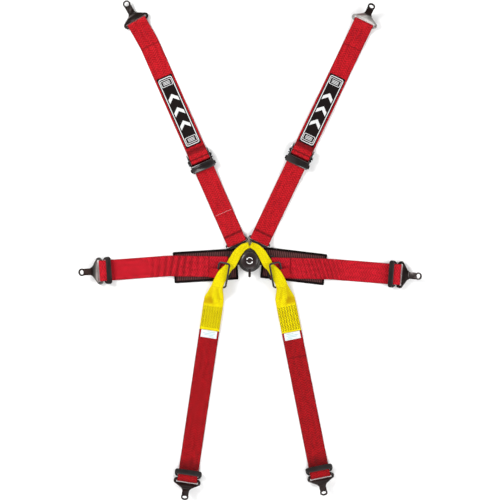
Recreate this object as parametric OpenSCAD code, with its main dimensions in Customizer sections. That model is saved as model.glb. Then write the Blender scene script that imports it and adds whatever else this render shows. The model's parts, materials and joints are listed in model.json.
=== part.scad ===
// Six-point racing harness laid out flat: a rotary cam-lock buckle with two shoulder straps going up,
// two lap straps going sideways over pads, and two crotch straps that hang from yellow leg loops and
// wire rings. Every strap ends in a bolt-in anchor plate. Millimetres, +Z up, +Y toward the shoulders.
// Lengths along a strap are measured outward from the buckle. Side lists are [left, right].

/* [Webbing] */
// Width of the shoulder and crotch webbing
web_w = 50; // [46:1:50]
// Width of the lap webbing
lap_web_w = 52; // [46:1:52]
// Thickness of one ply of webbing
web_t = 1.5; // [1.2:0.1:1.5]
// Width of the woven label on each shoulder strap
label_w = 41; // [30:1:48]
// Length of the woven label
label_len = 188; // [100:1:200]

/* [Layout] */
// Place of the buckle, across
buckle_x = -1.36; // [-20:0.05:20]
// Place of the buckle, along
buckle_y = -27.29; // [-60:0.05:20]
// Angle of each shoulder strap from straight up
shoulder_angle = [23.7, 25.5]; // [20:0.1:28]
// How far each shoulder strap runs to the outer side of the buckle's centre
shoulder_shift = [11.7, 1.4]; // [0:0.1:14]
// Distance of each shoulder strap adjuster's front bar from the buckle
adjuster_s = [264, 276]; // [240:1:290]
// Distance of each shoulder anchor's bar
shoulder_len = [658, 658]; // [620:0.5:700]
// Start of each shoulder label
label_s = [319, 323]; // [300:1:330]
// Distance of the lap straps below the buckle's centre
lap_drop = 16.6; // [14:0.1:18]
// Angle of each lap strap near the buckle, below level
lap_angle = [-1, 1.3]; // [-2:0.1:2]
// Angle of each lap strap beyond the pad, below level
lap_outer_angle = [4.2, 4.55]; // [0:0.1:8]
// Distance of the lap strap's fold from the buckle
lap_fold_s = 200; // [198:1:230]
// Length of each lap strap beyond the fold, to the anchor's bar
lap_outer_len = [170.5, 172.5]; // [140:0.5:220]
// Top of each crotch strap, across and along
crotch_top = [90, -103.5]; // [80:0.5:110]
// Angle of each crotch strap from straight down
crotch_angle = [8.4, 11.3]; // [5:0.1:14]
// Length of each crotch strap to the anchor's bar
crotch_len = [449, 442]; // [300:1:500]

/* [Buckle] */
// Radius of the buckle housing
housing_r = 28.5; // [28:0.1:29]
// Height of the housing's flat top
housing_top = 16; // [15.6:0.1:16]
// Radius of the release dial
dial_r = 22; // [19:0.1:22]
// Height of the dial's crown above the ground
dial_top = 26.3; // [25.5:0.1:30]
// Reach of the dial's lever from the centre
lever_reach = 42; // [30:0.5:44]
// Thickness of the steel tongues
tongue_t = 3; // [2.6:0.1:3]

/* [Anchors] */
// Thickness of the anchor plates
anchor_t = 3; // [2.5:0.1:3]
// Radius of the bolt hole
bolt_r = 5.75; // [5:0.05:6]
// Radius of the anchor's eye
eye_r = 9.5; // [9:0.1:11]
// Angle of the anchor's bent tail
tail_bend = 25; // [10:1:30]
// Tilt of the shoulder anchors, eye up
shoulder_tilt = [-10, 20]; // [-10:1:30]
// Tilt of the lap anchors
lap_tilt = [10, 8]; // [0:1:30]
// Tilt of the crotch anchors
crotch_tilt = [25, 25]; // [0:1:30]
// Outward bend of each shoulder strap before its anchor
shoulder_bend = [6, 0]; // [0:0.1:8]

/* [Pads] */
// Length of each lap pad
pad_len = 161; // [120:1:161]
// Width of each lap pad
pad_w = 79; // [60:1:82]
// Thickness of each lap pad
pad_t = 3.6; // [2:0.1:3.6]
// Angle of each lap pad, outer end lower
pad_angle = [3.5, 6.8]; // [0:0.1:8]

/* [Leg rings] */
// Middle of the ring's hinge bar: across, along and up
ring_place = [80.9, -32.9, 11.5]; // [0:0.1:90]
// Length of the ring's hinge bar, wire centre to wire centre
ring_long = 60; // [56:1:60]
// Width of the ring, wire centre to wire centre
ring_wide = 29; // [27:1:29]
// Tilt of the ring, inner bar up
ring_tilt = 24; // [22:0.5:26]
// Radius of the ring's wire
wire_r = 2.4; // [2:0.1:2.4]

/* [Hidden] */
side_name = ["left", "right"];
side_parts = [
    "shoulder_tongue", "lap_tongue", "shoulder_strap_end", "lower_shoulder_strap",
    "adjuster_frame", "adjuster_cover", "adjuster_roller", "adjuster_webbing",
    "upper_shoulder_strap", "shoulder_strap_tail", "shoulder_label", "shoulder_anchor",
    "lap_pad", "lap_strap_inner", "lap_strap_outer", "lap_slide", "lap_anchor",
    "leg_ring", "ring_keeper", "leg_loop_lower", "leg_loop_sewn",
    "crotch_strap", "crotch_slide", "crotch_anchor"
];

RED = "#b5152b";
YELLOW = "#f2c12e";
BLACK = "#17171a";
GUNMETAL = "#3c4148";
STEEL = "#b9bec4";
LABEL = "#101114";

floor_z = web_t / 2 + 0.05;        // centre height of a ply that lies on the ground
tongue_z = 8;                      // underside of the tongues
bar_z = 6;                         // centre height of the anchors' bars
fit = 0.3;                         // clearance between pieces that move past each other

plate_top = 2;                     // top of the back plate
cavity_r = 24.8;
cavity_top = 14;
screw_ring_r = 26.6;
screw_angles = [35, 145, 235, 305];
screw_r = 1.1;
screw_head_r = 1.7;
post_r = 2.4;                      // dial pivot post
stem_r = 6;                        // release cam stem
run_gap = 0.05;                    // radial running clearance
nose_tip = 15;                     // how near the tongue noses come to the centre
shoulder_nose_w = 12;
lap_nose_w = 20;
tongue_screw_s = 20;
latch_s = [17.5, 22.5];            // latch window in a tongue's nose

shoulder_bar_s = 56;
lap_bar_s = 58;
tongue_loop_r = 4.55;              // centreline of webbing round a tongue bar
tongue_loop_z = 9.5;
anchor_loop_r = 4.85;              // centreline of webbing round an anchor bar
flex_s = 80;                       // where each shoulder strap folds beyond its tongue
flex_gap = 0.9;
lap_flex_gap = 1.5;
bend_back = 62;                    // distance of a shoulder strap's bend from its anchor's bar
front_bar_z = 7.6;                 // adjuster front bar
roller_x = 15;                     // adjuster roller, beyond the front bar
roller_z = 9.2;
roller_r = 2.7;
rear_bar_x = 28;
slide_tail = 55;                   // loose tail beyond a three-bar slide
crotch_gap = 2.6;
crotch_z = 2.4;
sewn_len = [71, 76];

// Points along an arc, from angle a0 to angle a1
function arc(cx, cy, r, a0, a1, n = 12) =
    [for (k = [0:n]) let (a = a0 + (a1 - a0) * k / n) [cx + r * cos(a), cy + r * sin(a)]];
function unit(v) = v / norm(v);
function left_of(v) = [-v[1], v[0]];
function reversed(v) = [for (k = [len(v) - 1:-1:0]) v[k]];
// Sideways step at point k of a path that keeps a ribbon's thickness through each corner
function mitre(p, k) =
    let (
        before = unit(p[max(k, 1)] - p[max(k, 1) - 1]),
        after = unit(p[min(k + 1, len(p) - 1)] - p[min(k, len(p) - 2)]),
        middle = unit(left_of(before) + left_of(after))
    )
    middle / (middle * left_of(before));
function ribbon(p, t) =
    concat(
        [for (k = [0:len(p) - 1]) p[k] + mitre(p, k) * t / 2],
        [for (k = [len(p) - 1:-1:0]) p[k] - mitre(p, k) * t / 2]
    );
function shift_x(p, x) = [for (q = p) [q[0] + x, q[1]]];

// Webbing of width w along a path of [distance, height] points
module web(path, w = web_w, t = web_t)
    rotate([90, 0, 0]) linear_extrude(w, center = true) polygon(ribbon(path, t));

// Flat rectangle with round corners, centred
module rounded_rect(w, h, r) {
    square([w, h - 2 * r], center = true);
    square([w - 2 * r, h], center = true);
    for (sx = [-1, 1], sy = [-1, 1])
        translate([sx * (w / 2 - r), sy * (h / 2 - r)]) circle(r = r, $fn = 32);
}

// Solid band through stations [centre, half-width vector], t thick
module band(stations, t) {
    last = len(stations) - 1;
    function tangent(k) = unit(stations[min(k + 1, last)][0] - stations[max(k - 1, 0)][0]);
    function up(k) = unit(cross(tangent(k), stations[k][1])) * t / 2;
    points = [
        for (k = [0:last])
            let (c = stations[k][0], h = stations[k][1], u = up(k))
                each [c - h + u, c + h + u, c + h - u, c - h - u]
    ];
    sides = [
        for (k = [0:last - 1], e = [0:3])
            let (a = 4 * k + e, b = 4 * k + (e + 1) % 4)
                each [[a, b, b + 4], [a, b + 4, a + 4]]
    ];
    ends = [[3, 2, 1], [3, 1, 0], [4 * last, 4 * last + 1, 4 * last + 2], [4 * last, 4 * last + 2, 4 * last + 3]];
    polyhedron(points, concat(sides, ends));
}

// The left half is the mirror of the generic right half
module on_side(i) translate([buckle_x, buckle_y, 0]) mirror([i == 0 ? 1 : 0, 0, 0]) children();
module on_buckle() translate([buckle_x, buckle_y, 0]) children();
module shoulder_frame(i)
    on_side(i) rotate([0, 0, 90 - shoulder_angle[i]]) translate([0, -shoulder_shift[i], 0]) children();
module lap_frame(i) on_side(i) translate([0, -lap_drop, 0]) rotate([0, 0, -lap_angle[i]]) children();
module lap_outer_frame(i)
    lap_frame(i) translate([lap_fold_s, 0, 0]) rotate([0, 0, lap_angle[i] - lap_outer_angle[i]]) children();
module crotch_frame(i)
    on_side(i) translate([crotch_top[0], crotch_top[1], 0]) rotate([0, 0, crotch_angle[i] - 90]) children();
module ring_frame(i) on_side(i) translate(ring_place) rotate([0, 0, 10.5]) rotate([3, 0, 0]) children();

// ---- Buckle ----

// Space for a tongue of nose width w that enters at height y of its frame
module tongue_way(y, w)
    translate([12, y - w / 2 - fit, tongue_z - fit]) cube([30, w + 2 * fit, tongue_t + 2 * fit]);

module buckle_housing() color(BLACK) difference() {
    on_buckle() difference() {
        rotate_extrude($fn = 96)
            polygon([
                [cavity_r, plate_top + 0.1], [housing_r, plate_top + 0.1], [housing_r, 12.5],
                [housing_r - 5, housing_top], [stem_r + run_gap, housing_top],
                [stem_r + run_gap, cavity_top], [cavity_r - 1.8, cavity_top], [cavity_r, 12.2]
            ]);
        for (a = screw_angles) rotate([0, 0, a]) translate([screw_ring_r, 0, 1])
            cylinder(r = screw_r + run_gap, h = 9.2, $fn = 24);
    }
    for (i = [0, 1]) {
        shoulder_frame(i) tongue_way(shoulder_shift[i], shoulder_nose_w);
        lap_frame(i) tongue_way(lap_drop - 0.6, lap_nose_w);
    }
}

module buckle_back_plate() color(GUNMETAL) difference() {
    union() {
        on_buckle() cylinder(r = housing_r, h = plate_top, $fn = 96);
        lap_frame(0) translate([tongue_screw_s, lap_drop, plate_top - 0.5])
            cylinder(r = 3, h = tongue_z - plate_top + 0.4, $fn = 32);
    }
    on_buckle() {
        for (a = screw_angles) rotate([0, 0, a]) translate([screw_ring_r, 0, -1]) {
            cylinder(r = screw_r + run_gap, h = 5, $fn = 24);
            cylinder(r = screw_head_r + 0.1, h = 2.2, $fn = 24);
        }
        translate([0, 0, -1]) cylinder(r = post_r + run_gap, h = 5, $fn = 32);
        translate([0, 0, -1]) cylinder(r = 4.6, h = 2.2, $fn = 48);
    }
    lap_frame(0) translate([tongue_screw_s, lap_drop, -1]) {
        cylinder(r = 1.55, h = 12, $fn = 24);
        cylinder(r = 2.6, h = 2.2, $fn = 24);
    }
}

module pan_screw(head_r, shank_r, length) {
    translate([0, 0, 0.1]) cylinder(r = head_r, h = 1.05, $fn = 32);
    translate([0, 0, 1]) cylinder(r = shank_r, h = length, $fn = 32);
}

// Four case screws and the one that holds the fixed lap tongue
module buckle_screws() color(STEEL) {
    on_buckle() for (a = screw_angles) rotate([0, 0, a]) translate([screw_ring_r, 0, 0])
        pan_screw(screw_head_r, screw_r, 8.8);
    lap_frame(0) translate([tongue_screw_s, lap_drop, 0]) pan_screw(2.4, 1.5, 12.8);
}

// Steel hub that stops the tongue noses
module tongue_guide() color(STEEL) on_buckle() difference() {
    translate([0, 0, plate_top + 0.2]) cylinder(r = 13, h = 9.2, $fn = 64);
    translate([0, 0, 0]) cylinder(r = 7, h = 20, $fn = 64);
}

// Flat spring arm with the hook that drops into a tongue's window
module latch_spring(y) color(STEEL) {
    translate([8.5, y - 3, 11.5]) cube([14, 6, 0.8]);
    translate([18.5, y - 3, 8.3]) cube([3, 6, 3.3]);
}
module latch_spring_left() shoulder_frame(0) latch_spring(shoulder_shift[0]);
module latch_spring_right() shoulder_frame(1) latch_spring(shoulder_shift[1]);
module latch_spring_lap() lap_frame(1) latch_spring(lap_drop);

// Round wire spring about the post
module return_spring() {
    coil_r = 4.6;
    coil_wire = 0.5;
    turns = 5;
    per_turn = 16;
    rise = 8;
    sides = 6;
    last = turns * per_turn;
    function ring_point(k, e) =
        let (a = 360 * k / per_turn, b = 360 * e / sides, r = coil_r + coil_wire * cos(b))
            [r * cos(a), r * sin(a), 3 + rise * k / last + coil_wire * sin(b)];
    points = [for (k = [0:last], e = [0:sides - 1]) ring_point(k, e)];
    walls = [
        for (k = [0:last - 1], e = [0:sides - 1])
            let (a = sides * k + e, b = sides * k + (e + 1) % sides)
                each [[a, b, b + sides], [a, b + sides, a + sides]]
    ];
    caps = [
        [for (e = [sides - 1:-1:0]) e],
        [for (e = [0:sides - 1]) sides * last + e]
    ];
    color(STEEL) on_buckle() polyhedron(points, concat(walls, caps));
}

// Cam disc under the housing's top, with the stem that the dial turns
module release_cam() color(STEEL) on_buckle() difference() {
    union() {
        translate([0, 0, 12.6]) cylinder(r = 13, h = 1, $fn = 64);
        translate([0, 0, 13.5]) cylinder(r = stem_r, h = 3, $fn = 64);
    }
    translate([0, 0, 10]) cylinder(r = post_r + run_gap, h = 10, $fn = 48);
}

module release_dial() color(BLACK) on_buckle() difference() {
    dial_z = housing_top + 0.6;
    union() {
        rotate_extrude($fn = 96)
            polygon([
                [0, dial_z], [dial_r - 0.6, dial_z], [dial_r, dial_z + 0.8], [dial_r, dial_z + 4.2],
                [dial_r - 1, dial_z + 6.2], [dial_r - 3.4, dial_z + 7.8], [dial_r - 7, dial_top - 0.9],
                [dial_r - 12, dial_top - 0.25], [0, dial_top]
            ]);
        translate([-3.25, -lever_reach + 3.25, dial_z + 0.4]) cube([6.5, lever_reach - 20, 4]);
        translate([0, -lever_reach + 3.25, dial_z + 0.4]) cylinder(r = 3.25, h = 4, $fn = 32);
    }
    for (a = [0:30:330]) if (a != 270) rotate([0, 0, a]) translate([dial_r + 2.6, 0, dial_z - 1])
        cylinder(r = 3.6, h = 12, $fn = 32);
    translate([0, 0, 10]) cylinder(r = post_r + run_gap, h = 14.2, $fn = 48);
}

// Pivot post for the dial, with its head let into the back plate
module dial_screw() color(STEEL) on_buckle() {
    translate([0, 0, 0.1]) cylinder(r = 4.4, h = 1, $fn = 48);
    translate([0, 0, 1]) cylinder(r = post_r, h = 23, $fn = 48);
}

// ---- Tongues ----

// Flat steel tongue: nose and neck at height y of the frame, wing with the webbing's bar at bar_s
module tongue(y, nose_w, neck_w, bar_s, half) difference() {
    wing_start = bar_s - 12;
    slot_s = bar_s - 4.4;
    wing_end = bar_s + 3;
    wing_edge = concat([[wing_start, half - 10], [wing_start + 6, half]],
                       arc(wing_end - 4, half - 4, 4, 90, 0, 6));
    translate([0, 0, tongue_z]) linear_extrude(tongue_t) difference() {
        union() {
            translate([nose_tip, y - nose_w / 2]) square([wing_start - nose_tip + 2, nose_w]);
            translate([29.2, y - neck_w / 2]) square([wing_start - 27, neck_w]);
            polygon([
                for (m = [1, -1], p = m > 0 ? wing_edge : reversed(wing_edge)) [p[0], m * p[1]]
            ]);
        }
        translate([slot_s, 0]) square([2.8, 53.4], center = true);
    }
    children();
}

module shoulder_tongue(i) color(STEEL) shoulder_frame(i)
    tongue(shoulder_shift[i], shoulder_nose_w, 18, shoulder_bar_s, 29)
        translate([latch_s[0], shoulder_shift[i] - 3.6, 0]) cube([latch_s[1] - latch_s[0], 7.2, 20]);

module lap_tongue(i) color(STEEL) lap_frame(i)
    tongue(lap_drop - 0.6, lap_nose_w, lap_nose_w + 2, lap_bar_s, 31) {
    if (i == 0) translate([tongue_screw_s, lap_drop, 0]) cylinder(r = 1.55, h = 20, $fn = 24);
    else translate([latch_s[0], lap_drop - 3.6, 0]) cube([latch_s[1] - latch_s[0], 7.2, 20]);
}

// ---- Shoulder straps ----

module shoulder_strap_end(i) color(RED) shoulder_frame(i)
    web(concat(
        [[flex_s - flex_gap, 2.9], [66, 4.3]],
        arc(shoulder_bar_s, tongue_loop_z, tongue_loop_r, 270, 90),
        [[66, 7.6], [72, 5.55], [76, 4.95]]
    ));

// Folded round the adjuster's front bar and sewn back on itself
module lower_shoulder_strap(i) color(RED) shoulder_frame(i) {
    f = adjuster_s[i];
    web(concat(
        [[flex_s + flex_gap, 2.8], [105, floor_z], [120, floor_z], [130, 2.4], [137, 2.45],
         [f - 60, 2.45], [f - 20, 5.85], [f - 8, 7.9]],
        arc(f, front_bar_z, 3.65, 90, -90),
        [[f - 20, 4.2], [f - 60, floor_z], [137, floor_z]]
    ));
}

module adjuster_frame(i) color(BLACK) shoulder_frame(i) translate([adjuster_s[i], 0, 0]) {
    for (side = [-1, 1]) translate([0, side * 27.45, 0])
        rotate([90, 0, 0]) linear_extrude(2.5, center = true) difference() {
            polygon([[-7, 3.5], [-4, 1.6], [34, 1.6], [38, 5], [38, 12], [34, 15], [9.5, 15],
                     [8, 12.3], [-4, 12.3], [-7, 10.5]]);
            translate([16, roller_z]) rounded_rect(6.4, 4.4, 2);
        }
    rotate([90, 0, 0]) {
        translate([0, front_bar_z, 0]) cylinder(r = 2.5, h = 54, center = true, $fn = 32);
        translate([rear_bar_x, roller_z, 0]) cylinder(r = 2.8, h = 54, center = true, $fn = 32);
    }
}

module adjuster_cover(i) color(BLACK) shoulder_frame(i) translate([adjuster_s[i], 0, 0])
    rotate([90, 0, 0]) linear_extrude(60, center = true)
        polygon([[7.5, 12.6], [7.5, 15.2], [5.5, 16.6], [3, 16.6], [0.5, 14.9], [-8, 14.2],
                 [-11.5, 11.8], [-10.4, 10.9], [-7, 12.5]]);

module adjuster_roller(i) color(STEEL) shoulder_frame(i)
    translate([adjuster_s[i] + roller_x, 0, roller_z]) rotate([90, 0, 0]) {
        cylinder(r = roller_r, h = web_w, center = true, $fn = 32);
        cylinder(r = 1.8, h = 62, center = true, $fn = 32);
    }

// The strap's bight over the rear bar and round the roller
module adjuster_webbing(i) color(RED) shoulder_frame(i)
    web(shift_x(concat(
        [[46, 4.6], [41, 4.75], [31, 12.3], [rear_bar_x, 12.85], [25, 12.5], [21.5, 11.75], [18, 12.9]],
        arc(roller_x, roller_z, 3.85, 90, 270),
        [[20, 4.9], [27, 4.55], [36, 4.55]]
    ), adjuster_s[i]));

// Frame at the bend near the anchor, with the anchor's bar at bend_back along it
module shoulder_end_frame(i)
    shoulder_frame(i) translate([shoulder_len[i] - bend_back, 0, 0])
        rotate([0, 0, -shoulder_bend[i]]) children();

// Runs out from the adjuster, bends a little, and is folded round the anchor's bar and sewn back
module upper_shoulder_strap(i) color(RED) {
    shoulder_frame(i)
        web([[adjuster_s[i] + 8, 2.75], [adjuster_s[i] + 150, 2.75], [adjuster_s[i] + 175, floor_z],
             [shoulder_len[i] - bend_back + 4, floor_z]]);
    shoulder_end_frame(i)
        web(concat(
            [[-4, floor_z], [0, floor_z], [bend_back - 50, 2.5], [bend_back - 18, 3.4], [bend_back - 9, 7.6]],
            arc(bend_back, bar_z, anchor_loop_r, 90, -90),
            [[bend_back - 14, 0.9], [bend_back - 49, 0.85]]
        ));
}

module shoulder_strap_tail(i) color(RED) shoulder_frame(i)
    web([[adjuster_s[i] + 12, 0.9], [adjuster_s[i] + 120, 0.9]]);

module shoulder_label(i) color(LABEL) shoulder_frame(i)
    web([[label_s[i], 3.98], [adjuster_s[i] + 150, 3.98], [adjuster_s[i] + 175, 2.04],
         [label_s[i] + label_len, 2.04]], label_w, 0.85);

// ---- Anchors ----

flat_edge = concat(arc(5, 25.5, 8.5, 180, 50, 8), arc(31.5, 20.5, 12, 218, 231.4, 3));
tail_edge = concat(arc(31.5, 20.5, 12, 231.4, 270, 5), [[54, 8.5]]);
bend_x = 24;
bend_half = 11.1;
eye_x = 54;

module both_edges(edge) polygon(concat(edge, [for (p = reversed(edge)) [p[0], -p[1]]]));

// Steel plate with a bar and slot for the webbing, and a bent tail with the bolt eye
module anchor_plate() color(GUNMETAL) {
    difference() {
        union() {
            linear_extrude(anchor_t, center = true) difference() {
                both_edges(flat_edge);
                translate([6.25, 0]) rounded_rect(5.5, 54.4, 1.5);
            }
            translate([bend_x, 0, 0]) rotate([90, 0, 0])
                cylinder(r = anchor_t / 2, h = 2 * bend_half, center = true, $fn = 32);
            translate([bend_x, 0, 0]) rotate([0, -tail_bend, 0]) translate([-bend_x, 0, 0]) {
                linear_extrude(anchor_t, center = true) both_edges(tail_edge);
                translate([eye_x, 0, -anchor_t / 2]) cylinder(r = eye_r, h = anchor_t, $fn = 64);
            }
        }
        translate([bend_x, 0, 0]) rotate([0, -tail_bend, 0]) translate([eye_x - bend_x, 0, -10])
            cylinder(r = bolt_r, h = 20, $fn = 64);
    }
}

module at_bar(s, tilt) translate([s, 0, bar_z]) rotate([0, -tilt, 0]) children();

module shoulder_anchor(i) shoulder_end_frame(i) at_bar(bend_back, shoulder_tilt[i]) anchor_plate();
module lap_anchor(i) lap_outer_frame(i) at_bar(lap_outer_len[i], lap_tilt[i]) anchor_plate();
module crotch_anchor(i) crotch_frame(i) at_bar(crotch_len[i], crotch_tilt[i]) anchor_plate();

// ---- Lap straps ----

module lap_pad(i) color(BLACK) on_side(i) translate([110, i == 0 ? -13 : -13.5, 0])
    rotate([0, 0, -pad_angle[i]]) linear_extrude(pad_t) rounded_rect(pad_len, pad_w, 8);

module lap_strap_inner(i) color(RED) lap_frame(i)
    web(concat(
        [[lap_fold_s - lap_flex_gap, 4.25], [194, 4.45], [75, 4.45]],
        arc(lap_bar_s, tongue_loop_z, tongue_loop_r, 270, 90),
        [[74, 7.2], [82, 6.05], [102, 6.05]]
    ), lap_web_w);

// Threaded under, over and back through a three-bar slide, round the anchor's bar at distance s
function slide_end(s) = concat(
    [[s - slide_tail - 12, floor_z], [s - slide_tail - 2, 2.5], [s - 20.9, 2.5],
     [s - 19, 10.1], [s - 12, 10.1]],
    arc(s, bar_z, anchor_loop_r, 90, -90),
    [[s - 7.6, 1], [s - 9.4, 1.2], [s - 11.6, 8.35], [s - 17.2, 8.35], [s - 19, 0.95],
     [s - 27, 0.85], [s - slide_tail, 0.85]]
);

module lap_strap_outer(i) color(RED) lap_outer_frame(i)
    web(concat([[lap_flex_gap, 4.15], [28, floor_z]], slide_end(lap_outer_len[i])), lap_web_w);

// Flat frame with two windows, and a raised guard over the webbing's first rise
module three_bar_slide(s) color(BLACK) translate([s - 15.2, 0, 0]) {
    translate([0, 0, 4.5]) linear_extrude(3) difference() {
        rounded_rect(19.6, 68, 9.5);
        translate([-3.5, 0]) square([5.4, 53], center = true);
        translate([4.7, 0]) square([3.8, 53], center = true);
    }
    translate([-3.55, 0, 7.4]) linear_extrude(3.9) difference() {
        rounded_rect(12.5, 68, 6);
        square([20, 53], center = true);
    }
    translate([-3.55, 0, 11.2]) linear_extrude(2) rounded_rect(12.5, 68, 6);
}

module lap_slide(i) lap_outer_frame(i) three_bar_slide(lap_outer_len[i]);

// ---- Leg rings and loops ----

module leg_ring(i) color(BLACK) ring_frame(i) rotate([0, ring_tilt, 0]) {
    corner = 6;
    for (x = [0, -ring_wide]) translate([x, 0, 0]) rotate([90, 0, 0])
        cylinder(r = wire_r, h = ring_long - 2 * corner, center = true, $fn = 32);
    for (y = [-1, 1]) translate([-ring_wide / 2, y * ring_long / 2, 0]) rotate([0, 90, 0])
        cylinder(r = wire_r, h = ring_wide - 2 * corner, center = true, $fn = 32);
    for (c = [[-corner, 1, 0], [corner - ring_wide, 1, 90], [corner - ring_wide, -1, 180], [-corner, -1, 270]])
        translate([c[0], c[1] * (ring_long / 2 - corner), 0]) rotate([0, 0, c[2]])
            rotate_extrude(angle = 90, $fn = 48) translate([corner, 0]) circle(r = wire_r, $fn = 32);
}

// Short webbing loop that holds the ring's hinge bar to the lap strap
module ring_keeper(i) color(RED) ring_frame(i)
    web(concat(
        [[20, -1.8], [11, -1.8]],
        arc(0, 0, 3.4, 50, 270),
        [[6, -3.2], [20, -3.1]]
    ), 24, 1.2);

loop_s = 36.7;                     // where the leg loop passes round the shoulder tongue's neck
loop_low_z = 15.95;                // lower ply over the housing's rim
loop_high_z = 17.5;                // upper ply over the housing's rim

// One leg loop from over the buckle's rim, round the neck of its shoulder tongue and back
module leg_loop_upper(i) {
    a = shoulder_angle[i];
    along = [sin(a), cos(a), 0];
    out = [cos(a), -sin(a), 0];
    neck = loop_s * along;
    function level(p, z) = [p[0], p[1], z];
    bight = neck - 10.5 * out;
    lower = [
        [[45.6, -9.2, loop_low_z], [8, 6, 0]],
        [[42, -2.5, loop_low_z], [9.2, 5.6, 0]],
        [[36.5, 7, loop_low_z], [9, 5.4, 0]],
        [[30.6, 17.2, loop_low_z - 0.2], [7.2, 5.6, -0.4]],
        [level(neck + [12.2, -10.2, 0], 13.9), [4.4, 4.4, -0.6]],
        [level(neck + [9.9, -6.9, 0], 9), [3.9, 4.8, -0.2]],
        [level(neck + [8.9, -5, 0], 6.7), [3.6, 5.6, 0]],
        [level(neck, 6.6), 7 * along]
    ];
    turn = [
        for (k = [0:6])
            let (b = -90 + 30 * k)
                [level(bight - 3.4 * cos(b) * out, 10 + 3.4 * sin(b)), 7 * along]
    ];
    upper = [
        [level(neck, 13.7), 8.5 * along + [0, 0, -1.2]],
        [level(neck + [7.7, -7.1, 0], 15.2), [5.6, 7, -1.3]],
        [[30.6, 17.2, loop_high_z], [7.8, 6.2, -0.2]],
        [[36.5, 7, loop_high_z], [9, 5.4, 0]],
        [[42, -2.5, loop_high_z], [9.2, 5.6, 0]],
        [[45.6, -9.2, loop_high_z], [8, 6, 0]]
    ];
    color(YELLOW) on_side(i) band(concat(lower, turn, upper), web_t);
}
module leg_loops_upper() for (i = [0, 1]) leg_loop_upper(i);

// Both plies together: under the ring's inner bar, over its lower bar, down to the crotch strap
module leg_loop_lower(i) {
    a = crotch_angle[i];
    down = [sin(a), -cos(a), 0];
    across = [cos(a), sin(a), 0];
    top = [crotch_top[0], crotch_top[1], 0];
    color(YELLOW) on_side(i) band([
        [[46.4, -10.3, 16.75], [8, 6, 0]],
        [[55.5, -20.5, 16.8], [8.2, 7, 0.3]],
        [[65.5, -33, 17.3], [11.4, 7.8, 0.7]],
        [[73.5, -47, 18.6], [12.4, 5.4, -1]],
        [[78, -56.5, 19.2], [13, 4.6, -3.8]],
        [[81.5, -66, 18.2], [13.4, 4, -6.4]],
        [[85.5, -82, 9.4], [19, 3.2, -2]],
        [top - crotch_gap * down - 8 * down + [0, 0, 3.6], 23 * across],
        [top - crotch_gap * down + [0, 0, crotch_z], 24 * across]
    ], 2 * web_t + 0.1);
}

// Yellow webbing sewn over both faces of the crotch strap's top
module leg_loop_sewn(i) color(YELLOW) crotch_frame(i) for (z = [0.05, crotch_z + web_t / 2 + 0.1])
    translate([crotch_gap, -web_w / 2, z]) cube([sewn_len[i] - crotch_gap, web_w, web_t]);

// ---- Crotch straps ----

module crotch_strap(i) color(RED) crotch_frame(i)
    web(concat([[12, crotch_z], [92, crotch_z], [120, floor_z]], slide_end(crotch_len[i])));

module crotch_slide(i) crotch_frame(i) three_bar_slide(crotch_len[i]);

buckle_housing();
buckle_back_plate();
buckle_screws();
tongue_guide();
latch_spring_left();
latch_spring_right();
latch_spring_lap();
return_spring();
release_cam();
release_dial();
dial_screw();
leg_loops_upper();
for (i = [0, 1]) {
    side = side_name[i];
    shoulder_tongue(i);
    lap_tongue(i);
    shoulder_strap_end(i);
    lower_shoulder_strap(i);
    adjuster_frame(i);
    adjuster_cover(i);
    adjuster_roller(i);
    adjuster_webbing(i);
    upper_shoulder_strap(i);
    shoulder_strap_tail(i);
    shoulder_label(i);
    shoulder_anchor(i);
    lap_pad(i);
    lap_strap_inner(i);
    lap_strap_outer(i);
    lap_slide(i);
    lap_anchor(i);
    leg_ring(i);
    ring_keeper(i);
    leg_loop_lower(i);
    leg_loop_sewn(i);
    crotch_strap(i);
    crotch_slide(i);
    crotch_anchor(i);
}
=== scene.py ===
"""Looks of a six-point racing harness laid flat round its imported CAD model.

Lengths are written in millimetres, as in the part, and turned into metres where a mesh is made.
A strap's own frame is (s, y, z): distance along it from the buckle, across it, and up. HAND mirrors
the right half into the left.
"""

import json
import math
import random

import bmesh
import bpy
import numpy as np
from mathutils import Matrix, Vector
from mathutils.bvhtree import BVHTree

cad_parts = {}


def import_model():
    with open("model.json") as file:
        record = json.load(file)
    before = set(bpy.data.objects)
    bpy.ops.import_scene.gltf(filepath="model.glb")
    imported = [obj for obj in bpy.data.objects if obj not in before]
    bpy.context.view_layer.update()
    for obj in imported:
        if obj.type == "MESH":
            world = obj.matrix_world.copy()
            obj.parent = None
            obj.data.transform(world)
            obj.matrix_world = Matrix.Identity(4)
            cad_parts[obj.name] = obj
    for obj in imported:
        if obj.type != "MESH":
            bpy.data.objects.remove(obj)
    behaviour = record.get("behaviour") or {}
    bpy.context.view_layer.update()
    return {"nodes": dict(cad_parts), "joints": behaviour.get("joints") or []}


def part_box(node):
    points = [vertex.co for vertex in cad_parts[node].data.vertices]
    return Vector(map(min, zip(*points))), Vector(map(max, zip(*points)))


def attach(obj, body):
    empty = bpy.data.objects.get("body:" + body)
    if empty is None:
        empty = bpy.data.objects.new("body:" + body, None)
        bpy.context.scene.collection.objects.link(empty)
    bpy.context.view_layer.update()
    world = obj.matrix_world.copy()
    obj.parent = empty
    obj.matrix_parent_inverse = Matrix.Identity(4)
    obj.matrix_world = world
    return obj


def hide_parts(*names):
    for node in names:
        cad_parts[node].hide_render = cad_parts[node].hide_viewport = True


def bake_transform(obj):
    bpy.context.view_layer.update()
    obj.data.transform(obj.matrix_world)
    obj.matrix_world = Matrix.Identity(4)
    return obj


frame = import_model()
JOINTS = {j["name"]: j for j in frame["joints"]}
NODES = frame["nodes"]
SIDES = ("left", "right")
HAND = {"left": -1, "right": 1}
LAP_BODY = {"left": "buckle", "right": "lap_right"}     # the body that each lap strap starts on
MM = 0.001
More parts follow.
